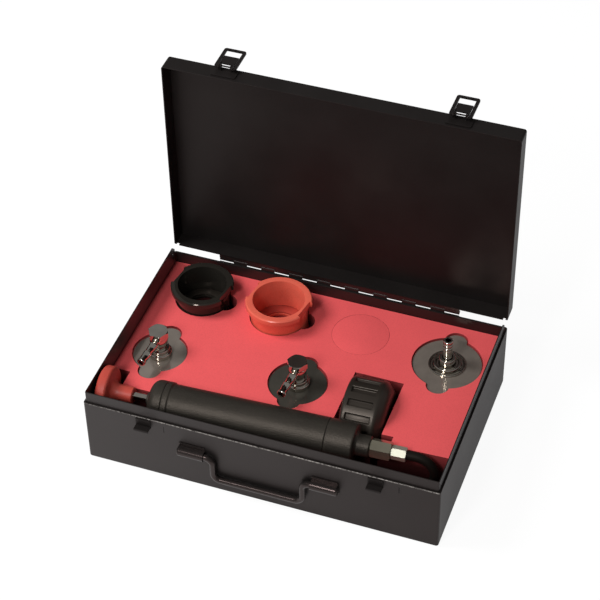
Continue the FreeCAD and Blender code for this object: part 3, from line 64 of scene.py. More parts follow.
# The pump lies along its own X axis.  The gauge's axis runs beside it and lower, stem in between.
PUMP_Y = -75.5 * MM
PUMP_Z = 64 * MM
PUMP_TURN = math.radians(2.45)
GAUGE_ALONG = 58 * MM
GAUGE_REACH = 57.2 * MM
GAUGE_TILT = math.radians(-19.4)

PUMP = Matrix.Translation((0, PUMP_Y, PUMP_Z)) @ Matrix.Rotation(PUMP_TURN, 4, "Z")
STEM = Vector((GAUGE_ALONG, GAUGE_REACH * math.cos(GAUGE_TILT), GAUGE_REACH * math.sin(GAUGE_TILT)))
GAUGE = PUMP @ Matrix.Translation(STEM) @ Matrix.Rotation(GAUGE_TILT, 4, "X")
ALONG_X = Matrix.Rotation(math.radians(90), 4, "Y")
ALONG_MINUS_Y = Matrix.Rotation(math.radians(90), 4, "X")


# ---------------------------------------------------------------- sizes and colours


class KitSizes(bpy.types.PropertyGroup):
    """Sizes that a user may change."""

    sheet_edge: bpy.props.FloatProperty(
        name="Sheet edge", description="Rounding of the steel sheet's edges",
        default=0.3 * MM, unit="LENGTH")
    foam_edge: bpy.props.FloatProperty(
        name="Foam edge", description="Rounding of the cut foam's edges",
        default=0.6 * MM, unit="LENGTH")
    moulded_edge: bpy.props.FloatProperty(
        name="Moulded edge", description="Rounding of plastic and rubber edges",
        default=0.5 * MM, unit="LENGTH")
    turned_edge: bpy.props.FloatProperty(
        name="Turned edge", description="Rounding of the metal fittings' edges",
        default=0.25 * MM, unit="LENGTH")


class KitColours(bpy.types.PropertyGroup):
    """Colours that a user may change, as linear light."""

    paint: bpy.props.FloatVectorProperty(
        name="Case paint", description="Black powder coat of the case",
        subtype="COLOR", size=3, min=0, max=1, default=(0.0095, 0.0082, 0.0078))
    foam: bpy.props.FloatVectorProperty(
        name="Foam", description="Red of the foam tray's top",
        subtype="COLOR", size=3, min=0, max=1, default=(0.84, 0.112, 0.117))
    red_moulding: bpy.props.FloatVectorProperty(
        name="Red moulding", description="Red of the pump's knob and the wide cup",
        subtype="COLOR", size=3, min=0, max=1, default=(0.55, 0.072, 0.050))
    black_moulding: bpy.props.FloatVectorProperty(
        name="Black moulding", description="Black of the pump's sleeve, its caps and the slim cup",
        subtype="COLOR", size=3, min=0, max=1, default=(0.013, 0.0115, 0.0095))


def kit(context):
    """The scene's sizes and colours."""
    return context.scene.kit_sizes, context.scene.kit_colours


# ---------------------------------------------------------------- shader nodes


# The Mix node's two colour inputs and its colour output.
FIRST_COLOUR, SECOND_COLOUR, MIXED_COLOUR = 6, 7, 2


class Signal:
    """A socket's value; arithmetic on it adds Math nodes beside its own."""

    def __init__(self, nodes, socket):
        self.nodes = nodes
        self.socket = socket

    def math(self, operation, first, second=0.0):
        """What a Math node makes of two values."""
        return self.nodes.add("ShaderNodeMath", {"operation": operation}, {0: first, 1: second})

    def __add__(self, other):
        return self.math("ADD", self, other)

    __radd__ = __add__

    def __sub__(self, other):
        return self.math("SUBTRACT", self, other)

    def __rsub__(self, other):
        return self.math("SUBTRACT", other, self)

    def __mul__(self, other):
        return self.math("MULTIPLY", self, other)

    __rmul__ = __mul__

    def __abs__(self):
        return self.math("ABSOLUTE", self)

    def or_more(self, other):
        """The larger of two values."""
        return self.math("MAXIMUM", self, other)

    def ramp(self, low, high):
        """0 below low, 1 above high and a straight rise between; turned round when low is the larger."""
        inputs = {"Value": self, "From Min": low, "From Max": high}
        return self.nodes.add("ShaderNodeMapRange", {"clamp": True}, inputs)

    def near(self, middle, core, rim):
        """1 up to core away from the middle, falling to 0 at rim."""
        return abs(self - middle).ramp(rim, core)


class Nodes:
    """The nodes of one material, or of the surroundings."""

    def __init__(self, owner):
        owner.use_nodes = True
        self.tree = owner.node_tree

    def link(self, value, socket):
        self.tree.links.new(value.socket, socket)

    def add(self, kind, settings=None, inputs=None, out=0):
        """Adds a node, sets it up, fills its sockets and gives one of its outputs."""
        added = self.tree.nodes.new(kind)
        for name, value in (settings or {}).items():
            setattr(added, name, value)
        for key, value in (inputs or {}).items():
            if isinstance(value, Signal):
                self.link(value, added.inputs[key])
            else:
                added.inputs[key].default_value = value
        return Signal(self, added.outputs[out])


class Finish(Nodes):
    """A material of one Principled shader, with the nodes that feed it."""

    def __init__(self, name, constants=None):
        self.material = bpy.data.materials.new(name)
        super().__init__(self.material)
        self.shader = self.tree.nodes["Principled BSDF"]
        self.place = self.add("ShaderNodeTexCoord", out="Object")
        for socket, value in (constants or {}).items():
            self.shader.inputs[socket].default_value = value

    def noise(self, size, detail=2.0, rough=0.5):
        """Soft noise about size metres across, from 0 to 1."""
        inputs = {"Vector": self.place, "Scale": 1 / size, "Detail": detail, "Roughness": rough}
        return self.add("ShaderNodeTexNoise", None, inputs, "Fac")

    def cells(self, size):
        """Distance to the nearest of scattered points about size metres apart."""
        inputs = {"Vector": self.place, "Scale": 1 / size}
        return self.add("ShaderNodeTexVoronoi", None, inputs, "Distance")

    def axis(self, name, vector=None):
        """One coordinate of the piece's own place, in metres, or of another vector."""
        return self.add("ShaderNodeSeparateXYZ", None, {0: vector or self.place}, name)

    def facing(self, name):
        """One component of the surface's direction."""
        return self.axis(name, self.add("ShaderNodeNewGeometry", out="Normal"))

    def mix(self, share, first, second):
        """A colour between two, each of them a plain colour or a value."""
        inputs = {"Factor": share}
        for socket, colour in ((FIRST_COLOUR, first), (SECOND_COLOUR, second)):
            inputs[socket] = colour if isinstance(colour, Signal) else opaque(colour)
        return self.add("ShaderNodeMix", {"data_type": "RGBA"}, inputs, MIXED_COLOUR)

    def bump(self, height, depth, strength=1.0, normal=None):
        """Raises the surface by depth metres where height is 1, on top of another relief if given."""
        inputs = {"Height": height, "Distance": depth, "Strength": strength}
        if normal:
            inputs["Normal"] = normal
        return self.add("ShaderNodeBump", None, inputs, "Normal")

    def shade(self, **values):
        """Feeds the shader's sockets, such as base_color, and gives the material."""
        for name, value in values.items():
            self.link(value, self.shader.inputs[name.replace("_", " ").title()])
        return self.material


def grey(level):
    return (level, level, level)


def opaque(colour):
    """The colour with the fourth channel that sockets ask for."""
    return (*colour[:3], 1.0)


def scaled(colour, share):
    """The colour made darker, or lighter by a share above 1."""
    return tuple(channel * share for channel in colour)


def tinted(colour, shares):
    """The colour with its red, green and blue scaled one by one."""
    return tuple(channel * share for channel, share in zip(colour, shares))


# ---------------------------------------------------------------- finishes


# Painted reflection: the coat's sheen is tinted warm, for the red foam beside it.
COAT_PAINTED_REFLECTION_TINT = (1.0, 0.76, 0.72)

# The case's marks: each pair is a place that has nothing of the mark and one that has all of it.
FRONT_WALL_Y = (-112.6 * MM, -113.2 * MM)
LEDGE_Y = (-114.2 * MM, -114.7 * MM)
LEDGE_Z = (73.5 * MM, 74.1 * MM)
LEDGE_X = (-175 * MM, -60 * MM)
SATIN_FILM_X = (170 * MM, -150 * MM)

# The two slits of the front wall, painted in as near-black shade and pressed in by a bump: full up to
# the first half width or height, gone at the second.
SLITS_X = (-94.3 * MM, 138.6 * MM)
SLITS_Z = 66 * MM
SLIT_HALF_WIDTH = (0.2 * MM, 0.9 * MM)
SLIT_HALF_HEIGHT = (3.8 * MM, 4.4 * MM)
SLIT_DEPTH = 0.9 * MM

# Painted shade in the foam's pockets: they darken slowly on the way down, and the slim cup's within a
# few millimetres.
POCKET_SHADE_Z = (59 * MM, 40 * MM)
SLIM_POCKET_SHADE_Z = (50 * MM, 46 * MM)
SLIM_POCKET_SHADE_X = (-92 * MM, -96 * MM)


def worn_marks(finish, tint, relief):
    """Rubbed ledge under the dust lip with a painted highlight, fading left; painted shade in the slits.
    """
    x, y, z = (finish.axis(name) for name in "XYZ")
    # Painted highlight along the ledge: its pale dots are partly rubbed paint, partly the shine of its
    # rounded edge.
    rubbed_glint_spots = finish.noise(1.3 * MM, detail=4, rough=0.7).ramp(0.40, 0.62)
    ledge = z.ramp(*LEDGE_Z) * y.ramp(*LEDGE_Y)
    wear_and_glint_fade = x.ramp(*LEDGE_X) * 0.6 + 0.35
    tint = finish.mix(ledge * rubbed_glint_spots * wear_and_glint_fade, tint, (0.50, 0.46, 0.43))
    front = y.ramp(*FRONT_WALL_Y)
    # Painted shade: each slit's near black stands for the shade inside it.
    for middle in SLITS_X:
        slit = front * (x.near(middle, *SLIT_HALF_WIDTH) * z.near(SLITS_Z, *SLIT_HALF_HEIGHT))
        tint = finish.mix(slit, tint, grey(0.001))
        relief = finish.bump(1 - slit, SLIT_DEPTH, 1.0, relief)
    return tint, relief


def powder_coat(name, colours, gloss=0.34, sheen=0.5, worn=False, coated=False):
    """Fine-grained black powder coat; the wear flag adds the base's marks, wear with a painted highlight
    and painted shade in the slits, and coated adds a satin film that thins out towards the case's right
    end."""
    finish = Finish(name, {"Specular IOR Level": sheen, "Specular Tint": opaque(COAT_PAINTED_REFLECTION_TINT),
                           "Coat Roughness": 0.42})
    grain = finish.noise(0.9 * MM, detail=3)
    broad = finish.noise(45 * MM, detail=3)
    specks = finish.noise(0.55 * MM, detail=1).ramp(0.68, 0.78)
    tint = finish.mix(broad.ramp(0.3, 0.7), colours.paint, scaled(colours.paint, 1.35))
    tint = finish.mix(specks * 0.25, tint, (0.10, 0.09, 0.085))
    relief = finish.bump(grain, 0.06 * MM, 0.5)
    if worn:
        tint, relief = worn_marks(finish, tint, relief)
    links = {"base_color": tint, "roughness": gloss + grain * 0.12 + broad * 0.06, "normal": relief}
    if coated:
        links["coat_weight"] = finish.axis("X").ramp(*SATIN_FILM_X) * 0.38 + 0.01
    return finish.shade(**links)


def cut_foam(colours):
    """Closed-cell foam: fine pores and slow mottling, with painted shade on its cut walls and deep in
    its pockets.
    """
    finish = Finish("cut_foam", {"Specular IOR Level": 0.25})
    pores = finish.cells(1.3 * MM).ramp(0.0, 0.55)
    grain = finish.noise(0.8 * MM, detail=3, rough=0.65)
    cloud = finish.noise(38 * MM, detail=3)
    top = finish.mix(cloud.ramp(0.25, 0.75), scaled(colours.foam, 0.93), colours.foam)
    top = finish.mix((1 - pores) * 0.30, top, scaled(colours.foam, 0.62))
    # Painted shade: the upright cut walls take a darker red than the top, for the light they miss.
    shaded_walls = finish.mix(grain, scaled(colours.foam, 0.30), scaled(colours.foam, 0.48))
    level = abs(finish.facing("Z")).ramp(0.35, 0.9)
    # Painted shade: deep pockets, and the floor under the slim cup most, turn nearly black.
    slim_pocket_shade = finish.axis("Z").ramp(*SLIM_POCKET_SHADE_Z) * finish.axis("X").ramp(*SLIM_POCKET_SHADE_X)
    pocket_shade = (finish.axis("Z").ramp(*POCKET_SHADE_Z) * 0.88).or_more(slim_pocket_shade)
    tint = finish.mix(pocket_shade, finish.mix(level, shaded_walls, top), scaled(colours.foam, 0.03))
    relief = finish.bump(grain * 0.6 + pores * 0.4, 0.18 * MM, 0.6)
    return finish.shade(base_color=tint, roughness=0.80 + grain * 0.15, normal=relief)


def moulded(name, colour, gloss, grain_size=0.7 * MM, grain_depth=0.03 * MM, speck=0.0,
            sheen=0.5, sheen_tint=grey(1.0)):
    """Moulded plastic or rubber with a fine spark-eroded texture."""
    finish = Finish(name, {"Specular IOR Level": sheen, "Specular Tint": opaque(sheen_tint)})
    grain = finish.noise(grain_size)
    flow = finish.noise(22 * MM, detail=3)
    specks = finish.noise(0.5 * MM, detail=1).ramp(0.58, 0.74)
    tint = finish.mix(flow.ramp(0.3, 0.7), colour, scaled(colour, 1.22))
    tint = finish.mix(specks * speck, tint, scaled(colour, 4.5))
    return finish.shade(
        base_color=tint, roughness=gloss + grain * 0.14 + flow * 0.05,
        normal=finish.bump(grain, grain_depth, 0.5))


def metal(name, colour, gloss, smudge=0.03, metallic=1.0, grain=0.008 * MM):
    """Plated metal with faint smudges."""
    finish = Finish(name, {"Metallic": metallic})
    fine = finish.noise(0.7 * MM, detail=3)
    film = finish.noise(14 * MM, detail=3)
    tint = finish.mix(film.ramp(0.3, 0.75), colour, scaled(colour, 0.82))
    return finish.shade(
        base_color=tint, roughness=gloss + film.ramp(0.45, 0.8) * smudge + fine * 0.03,
        normal=finish.bump(fine, grain, 0.4))


def lens_glass():
    """Clear pane of the gauge."""
    finish = Finish("lens_glass", {"Transmission Weight": 1.0, "IOR": 1.49})
    film = finish.noise(6 * MM, detail=3)
    return finish.shade(roughness=0.02 + film * 0.05)


def paints(colours):
    """The case's coats: its sides, the lid, the base with its wear and painted light, and the handle."""
    return {
        "case_paint": powder_coat("powder_coat", colours, sheen=0.34, coated=True),
        "lid_paint": powder_coat("powder_coat_lid", colours, gloss=0.30, sheen=0.15),
        # The base's coat carries the ledge's wear with a painted highlight, and painted shade in the
        # slits.
        "paint_wear_and_painted_light": powder_coat("powder_coat_worn", colours, sheen=0.34, worn=True, coated=True),
        "gloss_paint": powder_coat("powder_coat_glossy", colours, gloss=0.16),
    }


def metals():
    """Plated, blackened and bare metals."""
    plate = {"metallic": 0.8, "grain": 0.001 * MM}
    satin = {"metallic": 0.6, "grain": 0.002 * MM}
    return {
        "plated_steel": metal("olive_plate", (0.36, 0.33, 0.25), gloss=0.14, **plate),
        "bright_plate": metal("bright_plate", (0.77, 0.75, 0.62), gloss=0.50, smudge=0.02, **plate),
        "chrome": metal("chrome_plate", (0.60, 0.56, 0.50), gloss=0.05, grain=0.0005 * MM),
        "satin_plate": metal("satin_plate", (0.37, 0.32, 0.275), gloss=0.10, **satin),
        # Painted shadow: the mid cap's plate is a darker copy of the satin plate, for the shade that its
        # bolt casts on it.
        "shaded_plate": metal("shaded_plate", (0.13, 0.12, 0.10), gloss=0.11, **satin),
        "dark_metal": metal("blackened_steel", (0.16, 0.155, 0.15), gloss=0.24, smudge=0.2),
        "gauge_steel": metal("gauge_steel", (0.5, 0.5, 0.5), gloss=0.22, smudge=0.15),
        "brass": metal("brass", (0.72, 0.50, 0.22), gloss=0.2, smudge=0.15),
    }


def mouldings(colours):
    """Plastics and rubbers of the pump, the cups, the hose and the gauge."""
    black = tuple(colours.black_moulding)
    red = tuple(colours.red_moulding)
    rubber = {"grain_size": 1.1 * MM, "grain_depth": 0.02 * MM}
    return {
        # The black mouldings' sheen tints are warm: a painted reflection of the red tray around them.
        "black_plastic": moulded(
            "black_moulding", scaled(black, 1.3), gloss=0.36, grain_size=1.1 * MM,
            grain_depth=0.60 * MM, speck=0.7, sheen=0.70, sheen_tint=(1.0, 0.86, 0.74)),
        "glossy_black": moulded(
            "black_gloss_moulding", scaled(black, 1.15), gloss=0.01, sheen=0.45,
            sheen_tint=(1.0, 0.85, 0.75)),
        "red_plastic": moulded("red_moulding", scaled(red, 0.76), gloss=0.38, speck=0.05),
        "cup_red": moulded(
            "red_cup_moulding", tinted(red, (1.22, 1.62, 1.50)), gloss=0.20, speck=0.05),
        "black_rubber": moulded(
            "black_rubber", (0.016, 0.013, 0.0105), gloss=0.30, speck=0.12, sheen=0.68,
            sheen_tint=(1.0, 0.86, 0.75), **rubber),
        "hose_rubber": moulded(
            "hose_rubber", (0.0075, 0.006, 0.005), gloss=0.5, sheen=0.22,
            sheen_tint=(1.0, 0.85, 0.75), **rubber),
        "red_rubber": moulded("red_rubber", scaled(red, 0.72), gloss=0.45),
        "dial_white": moulded("dial_enamel", (0.80, 0.80, 0.78), gloss=0.4),
        "pointer_black": moulded("pointer_enamel", grey(0.012), gloss=0.35),
    }


FINISHES = {}


class KIT_OT_finishes(bpy.types.Operator):
    """Makes every finish and puts it on the solids that stay"""

    bl_idname = "kit.finishes"
    bl_label = "Finishes"

    def execute(self, context):
        _, colours = kit(context)
        FINISHES.update(paints(colours), **metals(), **mouldings(colours))
        FINISHES.update(red_foam=cut_foam(colours), clear_lens=lens_glass())
        for name, node in frame["nodes"].items():
            node.material_slots[0].material = FINISHES[SLOTS[name]]
        return {"FINISHED"}


# ---------------------------------------------------------------- modelling helpers


# Points closer than this are one.
SOLID_MERGE = 0.001 * MM
SPUN_MERGE = 0.002 * MM
# In degrees: faces that turn less are joined, edges that turn more are sharp.
FLAT_ANGLE = 0.4
SHARP_ANGLE = 32


def only(*pieces):
    """Selects these objects and nothing else, with the first one active."""
    bpy.ops.object.select_all(action="DESELECT")
    for piece in pieces:
        piece.select_set(True)
    bpy.context.view_layer.objects.active = pieces[0]


def linked(name, data):
    """A new object of a mesh, lamp or camera in the scene, selected alone."""
    piece = bpy.data.objects.new(name, data)
    bpy.context.scene.collection.objects.link(piece)
    only(piece)
    return piece


@contextlib.contextmanager
def editing(everything=True):
    """Edit mode on the active mesh, with all of it selected or only what was picked before."""
    bpy.ops.object.mode_set(mode="EDIT")
    if everything:
        bpy.ops.mesh.select_all(action="SELECT")
    yield
    bpy.ops.object.mode_set(mode="OBJECT")


def traced(node, name, whole=False):
    """A merged copy of a solid at the solid's own place; whole keeps every facet of it."""
    mesh = frame["nodes"][node].data.copy()
    mesh.name = name
    piece = linked(name, mesh)
    bpy.ops.mesh.customdata_custom_splitnormals_clear()
    with editing():
        bpy.ops.mesh.remove_doubles(threshold=SOLID_MERGE)
        if not whole:
            bpy.ops.mesh.dissolve_limited(angle_limit=math.radians(FLAT_ANGLE))
    return piece


def soften(piece, width, segments=2, angle=SHARP_ANGLE, weighted=True):
    """Rounds the piece's sharp edges and smooths its curved faces."""
    only(piece)
    rounding = piece.modifiers.new("edge", "BEVEL")
    rounding.width = width
    rounding.segments = segments
    rounding.limit_method = "ANGLE"
    rounding.angle_limit = math.radians(angle)
    bpy.ops.object.modifier_apply(modifier="edge")
    bpy.ops.object.shade_smooth_by_angle(angle=math.radians(angle))
    if weighted:
        weighting = piece.modifiers.new("weight", "WEIGHTED_NORMAL")
        weighting.keep_sharp = True
        bpy.ops.object.modifier_apply(modifier="weight")


def settle(piece, finish, *nodes):
    """Gives the piece its finish and the body of the solids that it stands for, and hides those solids.
    """
    piece.data.materials.clear()
    piece.data.materials.append(FINISHES[finish])
    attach(piece, BODIES[nodes[0]])
    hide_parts(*nodes)


def dressed(node, edge, finish=None, segments=2, whole=False, turn=None):
    """A copy of a solid with softened edges, which stands for it; turn rolls it first."""
    piece = traced(node, node + "_look", whole)
    if turn:
        piece.data.transform(turn)
    soften(piece, edge, segments, weighted=not whole)
    settle(piece, finish or SLOTS[node], node)
    return piece


def outline(name, corners, closed=True):
    """An object of corners in metres, joined one to the next by edges."""
    count = len(corners)
    runs = [(n, (n + 1) % count) for n in range(count if closed else count - 1)]
    mesh = bpy.data.meshes.new(name)
    mesh.from_pydata(corners, runs, [])
    return linked(name, mesh)


def arc(middle, radius, start, end, steps=6):
    """Points of (radius, height) along an arc between two angles in degrees, from the radius axis."""
    points = []
    for n in range(steps + 1):
        angle = math.radians(start + (end - start) * n / steps)
        points.append((middle[0] + radius * math.cos(angle), middle[1] + radius * math.sin(angle)))
    return points


def spun(name, profile, place, edge=0.0, steps=96):
    """A piece spun from a closed profile of (radius, height) in millimetres, put where place says."""
    piece = outline(name, [(radius * MM, 0, height * MM) for radius, height in profile])
    with editing():
        bpy.ops.mesh.spin(steps=steps, angle=math.tau, center=(0, 0, 0), axis=(0, 0, 1))
        bpy.ops.mesh.select_all(action="SELECT")
        bpy.ops.mesh.remove_doubles(threshold=SPUN_MERGE)
        bpy.ops.mesh.normals_make_consistent(inside=False)
    piece.data.transform(place)
    if edge:
        soften(piece, edge * MM, 3, weighted=False)
    else:
        bpy.ops.object.shade_smooth_by_angle(angle=math.radians(SHARP_ANGLE))
    return piece


def turned(node, profile, place, edge):
    """A spun piece with the finish of the solid's slot, which stands for the solid."""
    piece = spun(node + "_look", profile, place, edge)
    settle(piece, SLOTS[node], node)
    return piece


def pick(piece, wanted, kind="polygons"):
    """Selects the faces, or edges, whose middle passes the test, and nothing else."""
    mesh = piece.data
    for group in (mesh.vertices, mesh.edges, mesh.polygons):
        group.foreach_set("select", [False] * len(group))
    for item in getattr(mesh, kind):
        spots = [mesh.vertices[n].co for n in item.vertices]
        item.select = wanted(sum(spots, Vector()) / len(spots))


# ---------------------------------------------------------------- case


# The handle's bracket is half a pipe with a closed, rounded outer end and a flange, in millimetres.
BRACKET_R = 4.8
BRACKET_HALF = 13.5
BRACKET_ROUND = 2.2
BRACKET_FLANGE = 2.6
FLANGE_FLARE = 1.8
BRACKET_WALL = 0.9
BRACKET_EDGE = 0.25


def bracket_shell(name):
    """The bracket's skin, open to the wall behind it and at its inner end."""
    corners = [(-BRACKET_HALF * MM, 0, BRACKET_R * MM)]
    corner = (BRACKET_R - BRACKET_ROUND, BRACKET_HALF - BRACKET_ROUND)
    for radius, along in arc(corner, BRACKET_ROUND, 0, 90):
        corners.append((along * MM, 0, radius * MM))
    corners.append((BRACKET_HALF * MM, 0, 0))
    piece = outline(name, corners, closed=False)
    with editing():
        bpy.ops.mesh.spin(steps=20, angle=-math.pi, center=(0, 0, 0), axis=(1, 0, 0))
        bpy.ops.mesh.select_all(action="SELECT")
        bpy.ops.mesh.remove_doubles(threshold=SPUN_MERGE)
    pick(piece, lambda spot: abs(spot.y) < 0.01 * MM, "edges")
    with editing(everything=False):
        bpy.ops.mesh.select_mode(type="EDGE")
        sideways = {"value": (0, BRACKET_FLANGE * MM, 0)}
        bpy.ops.mesh.extrude_region_move(TRANSFORM_OT_translate=sideways)
        bpy.ops.mesh.extrude_region_move()
        bpy.ops.transform.resize(value=(1, 1, FLANGE_FLARE), center_override=(0, 0, 0))
        bpy.ops.mesh.select_all(action="SELECT")
        bpy.ops.mesh.normals_make_consistent(inside=True)
    return piece


def bracket(node, side):
    """Pressed shell over one end of the handle; side is -1 for the left end and 1 for the right."""
    low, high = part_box(node)
    middle = Vector(((low[0] + high[0]) / 2, low[1] + BRACKET_R * MM, (low[2] + high[2]) / 2))
    piece = bracket_shell(node + "_look")
    piece.data.transform(Matrix.Translation(middle) @ Matrix.Scale(side, 4, (1, 0, 0)))
    if side < 0:
        piece.data.flip_normals()
    wall = piece.modifiers.new("wall", "SOLIDIFY")
    wall.thickness = BRACKET_WALL * MM
    bpy.ops.object.modifier_apply(modifier="wall")
    soften(piece, BRACKET_EDGE * MM)
    settle(piece, "gloss_paint", node)


class KIT_OT_case(bpy.types.Operator):
    """Bent steel base with its dust lip, keepers, handle and handle brackets"""

    bl_idname = "kit.case"
    bl_label = "Case"

    def execute(self, context):
        sizes, _ = kit(context)
        dressed("base_shell", sizes.sheet_edge, "paint_wear_and_painted_light")
        dressed("base_lip", sizes.sheet_edge)
        for node in ("keeper_left", "keeper_right"):
            dressed(node, sizes.sheet_edge, "lid_paint")
        dressed("carry_handle", sizes.sheet_edge, "gloss_paint", whole=True)
        bracket("handle_bracket_left", -1)
        bracket("handle_bracket_right", 1)
        return {"FINISHED"}


# The latches' strips are thinner than the case's sheet, and so is their rounding.
LATCH_EDGE_SHARE = 0.8


class KIT_OT_lid(bpy.types.Operator):
    """Lid, hinge leaves and toggle latches"""

    bl_idname = "kit.lid"
    bl_label = "Lid and latches"

    def execute(self, context):
        sizes, _ = kit(context)
        dressed("lid_shell", sizes.sheet_edge, "lid_paint")
        for node in ("hinge_lid_leaf", "hinge_base_leaf"):
            dressed(node, sizes.sheet_edge)
        for side in ("left", "right"):
            for part in ("latch_plate", "latch_lever", "latch_loop"):
                dressed(f"{part}_{side}", sizes.sheet_edge * LATCH_EDGE_SHARE, "lid_paint")
        return {"FINISHED"}


# ---------------------------------------------------------------- foam


# How far the plug swells past its solid, and its rounding, in millimetres.
PLUG_SWELL = 0.15
PLUG_EDGE = 0.2


def foot(node):
    """The middle of a solid's box, at its underside."""
    low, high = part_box(node)
    return Matrix.Translation(((low[0] + high[0]) / 2, (low[1] + high[1]) / 2, low[2]))


class KIT_OT_foam(bpy.types.Operator):
    """Foam tray and the plug of foam left in it"""

    bl_idname = "kit.foam"
    bl_label = "Foam"

    def execute(self, context):
        sizes, _ = kit(context)
        dressed("foam_insert", sizes.foam_edge)
        low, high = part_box("foam_plug")
        radius = (high[0] - low[0]) / 2 / MM + PLUG_SWELL
        height = (high[2] - low[2]) / MM
        profile = [(0, 0), (radius, 0), (radius, height), (0, height)]
        plug = turned("foam_plug", profile, foot("foam_plug"), PLUG_EDGE)
        return {"FINISHED"}


# ---------------------------------------------------------------- pump


# Radii and places along the pump's axis, from the knob to the hose, in millimetres.
SLEEVE_R = 19.6
SLEEVE_BORE = 17.1
END_RING_R = 20.8
FACE_R = 20.3
SHOULDER_R = 19.0
KNOB_R = 24
KNOB_ROUND = 3
KNOB_STEM_R = 8.2
NECK_R = 10.5
PASSAGE_R = 3
KNOB_FACE = -171
KNOB_END = -140
ROD_CAP_FACE = -125
SLEEVE_START = -107
SLEEVE_END = 55
HEAD_END = 97

SLEEVE_PROFILE = [
    (SLEEVE_BORE, SLEEVE_START), (FACE_R, SLEEVE_START), (END_RING_R, -106.4), (END_RING_R, -101.6),
    (FACE_R, -101.0), (19.9, -100.6), (SLEEVE_R, -99.6), (SLEEVE_R, 54.2), (SHOULDER_R, SLEEVE_END),
    (SLEEVE_BORE, SLEEVE_END),
]
ROD_CAP_PROFILE = [
    (6, ROD_CAP_FACE), (7, ROD_CAP_FACE), (7, -122.5), (9.5, -121.6),
    *arc((12.8, -113.6), 8, -80, 0, 8), (END_RING_R, -107.8), (20.2, SLEEVE_START),
    (16.9, SLEEVE_START), (16.9, -112.5), (6, -112.5),
]
KNOB_PROFILE = [
    (0, KNOB_FACE), (10, KNOB_FACE), (16, -172.1),
    *arc((KNOB_R - KNOB_ROUND, -169.5), KNOB_ROUND, -90, 0),
    *arc((KNOB_R - KNOB_ROUND, -164.5), KNOB_ROUND, 0, 90),
    (14.5, -161.4), (12.2, -160.8), (10.3, -159.4), (9.0, -157.6), (8.4, -155.5),
    (KNOB_STEM_R, -153), (KNOB_STEM_R, -140.8), (7.6, KNOB_END), (0, KNOB_END),
]
HEAD_PROFILE = [
    (PASSAGE_R, 44), (15.1, 44), (15.1, 52), (16.9, 52), (16.9, SLEEVE_END), (SHOULDER_R, SLEEVE_END),
    (SLEEVE_R, 55.6), (SLEEVE_R, 80.5), *arc((17.6, 80.5), 2, 0, 90), (12.5, 82.5),
    (NECK_R, 84.5), (NECK_R, 96), (9.5, HEAD_END), (PASSAGE_R, HEAD_END),
]
# Each turned piece of the pump, with its profile and its rounding in millimetres.
PUMP_PIECES = (
    ("barrel_sleeve", SLEEVE_PROFILE, 0.35),
    ("rod_end_cap", ROD_CAP_PROFILE, 0.3),
    ("pump_knob", KNOB_PROFILE, 0.25),
    ("pump_head", HEAD_PROFILE, 0.3),
)
# How far, in degrees, each hexagon on the hose is rolled about the pump's axis.
NUT_ROLL = 25
FERRULE_ROLL = -17


def rolled(degrees):
    """A roll about the pump's axis."""
    return PUMP @ Matrix.Rotation(math.radians(degrees), 4, "X") @ PUMP.inverted()


class KIT_OT_pump(bpy.types.Operator):
    """Hand pump: sleeve, rod cap, knob, head, hose and its fittings"""

    bl_idname = "kit.pump"
    bl_label = "Pump"

    def execute(self, context):
        sizes, _ = kit(context)
        for node, profile, edge in PUMP_PIECES:
            turned(node, profile, PUMP @ ALONG_X, edge)
        dressed("hose_nut", sizes.turned_edge, turn=rolled(NUT_ROLL))
        dressed("hose_ferrule", sizes.turned_edge, "bright_plate", turn=rolled(FERRULE_ROLL))
        dressed("hose_coupler", sizes.turned_edge, "bright_plate", whole=True)
        dressed("hose", sizes.turned_edge, "hose_rubber", whole=True)
        return {"FINISHED"}


# ---------------------------------------------------------------- gauge


# The boot, along the gauge's axis from its front, in millimetres and degrees.
BOOT_R = 37.5
BOOT_LENGTH = 42
BOOT_STEPS = 144
BOOT_EDGE = 0.9
BOOT_SHARP_ANGLE = 28
BARS = 16
RECESS_START = 5.5
RECESS_END = 29.5
RECESS_HALF_ANGLE = 5
RECESS_DEPTH = 3

BOOT_PROFILE = [
    (29.0, 0), (35.0, 0), (36.6, 0.6), (BOOT_R, 2.2), (BOOT_R, RECESS_START),
    (BOOT_R, RECESS_END), (BOOT_R, 33), (36.6, 34.6), (35.2, 35.9), (33.0, 38.2), (29.5, 41.3),
    (27.0, BOOT_LENGTH), (14, BOOT_LENGTH), (14, 30.5), (32, 30.5), (32, 3.5), (29.0, 3.5),
]

# The dial, in millimetres and degrees: ticks end at one radius, numbers centre on another.
DIAL_FACE = 8.93
DIAL_START = -135
DEGREES_PER_TICK = 9
LAST_VALUE = 30
NUMBER_EVERY = 5
TICK_END_R = 27.2
TICK_HEIGHT = 0.16
LONG_TICK = (5.2, 0.75)
SHORT_TICK = (2.8, 0.35)
NUMBER_R = 18.2
NUMBER_SIZE = 5.4
NUMBER_HALF_HEIGHT = 0.05
TO_DIAL = Matrix(((0, 0, -1, 0), (0, 1, 0, 0), (1, 0, 0, 0), (0, 0, 0, 1)))


def on_recess(spot):
    """True at a point of the boot's rim that lies between two bars, in the gauge's own axes."""
    pitch = 360 / BARS
    across = math.degrees(math.atan2(spot.y, spot.z)) % pitch
    between = min(across, pitch - across) < RECESS_HALF_ANGLE
    outside = math.hypot(spot.y, spot.z) > (BOOT_R - 0.5) * MM
    return between and outside and RECESS_START * MM < spot.x < RECESS_END * MM


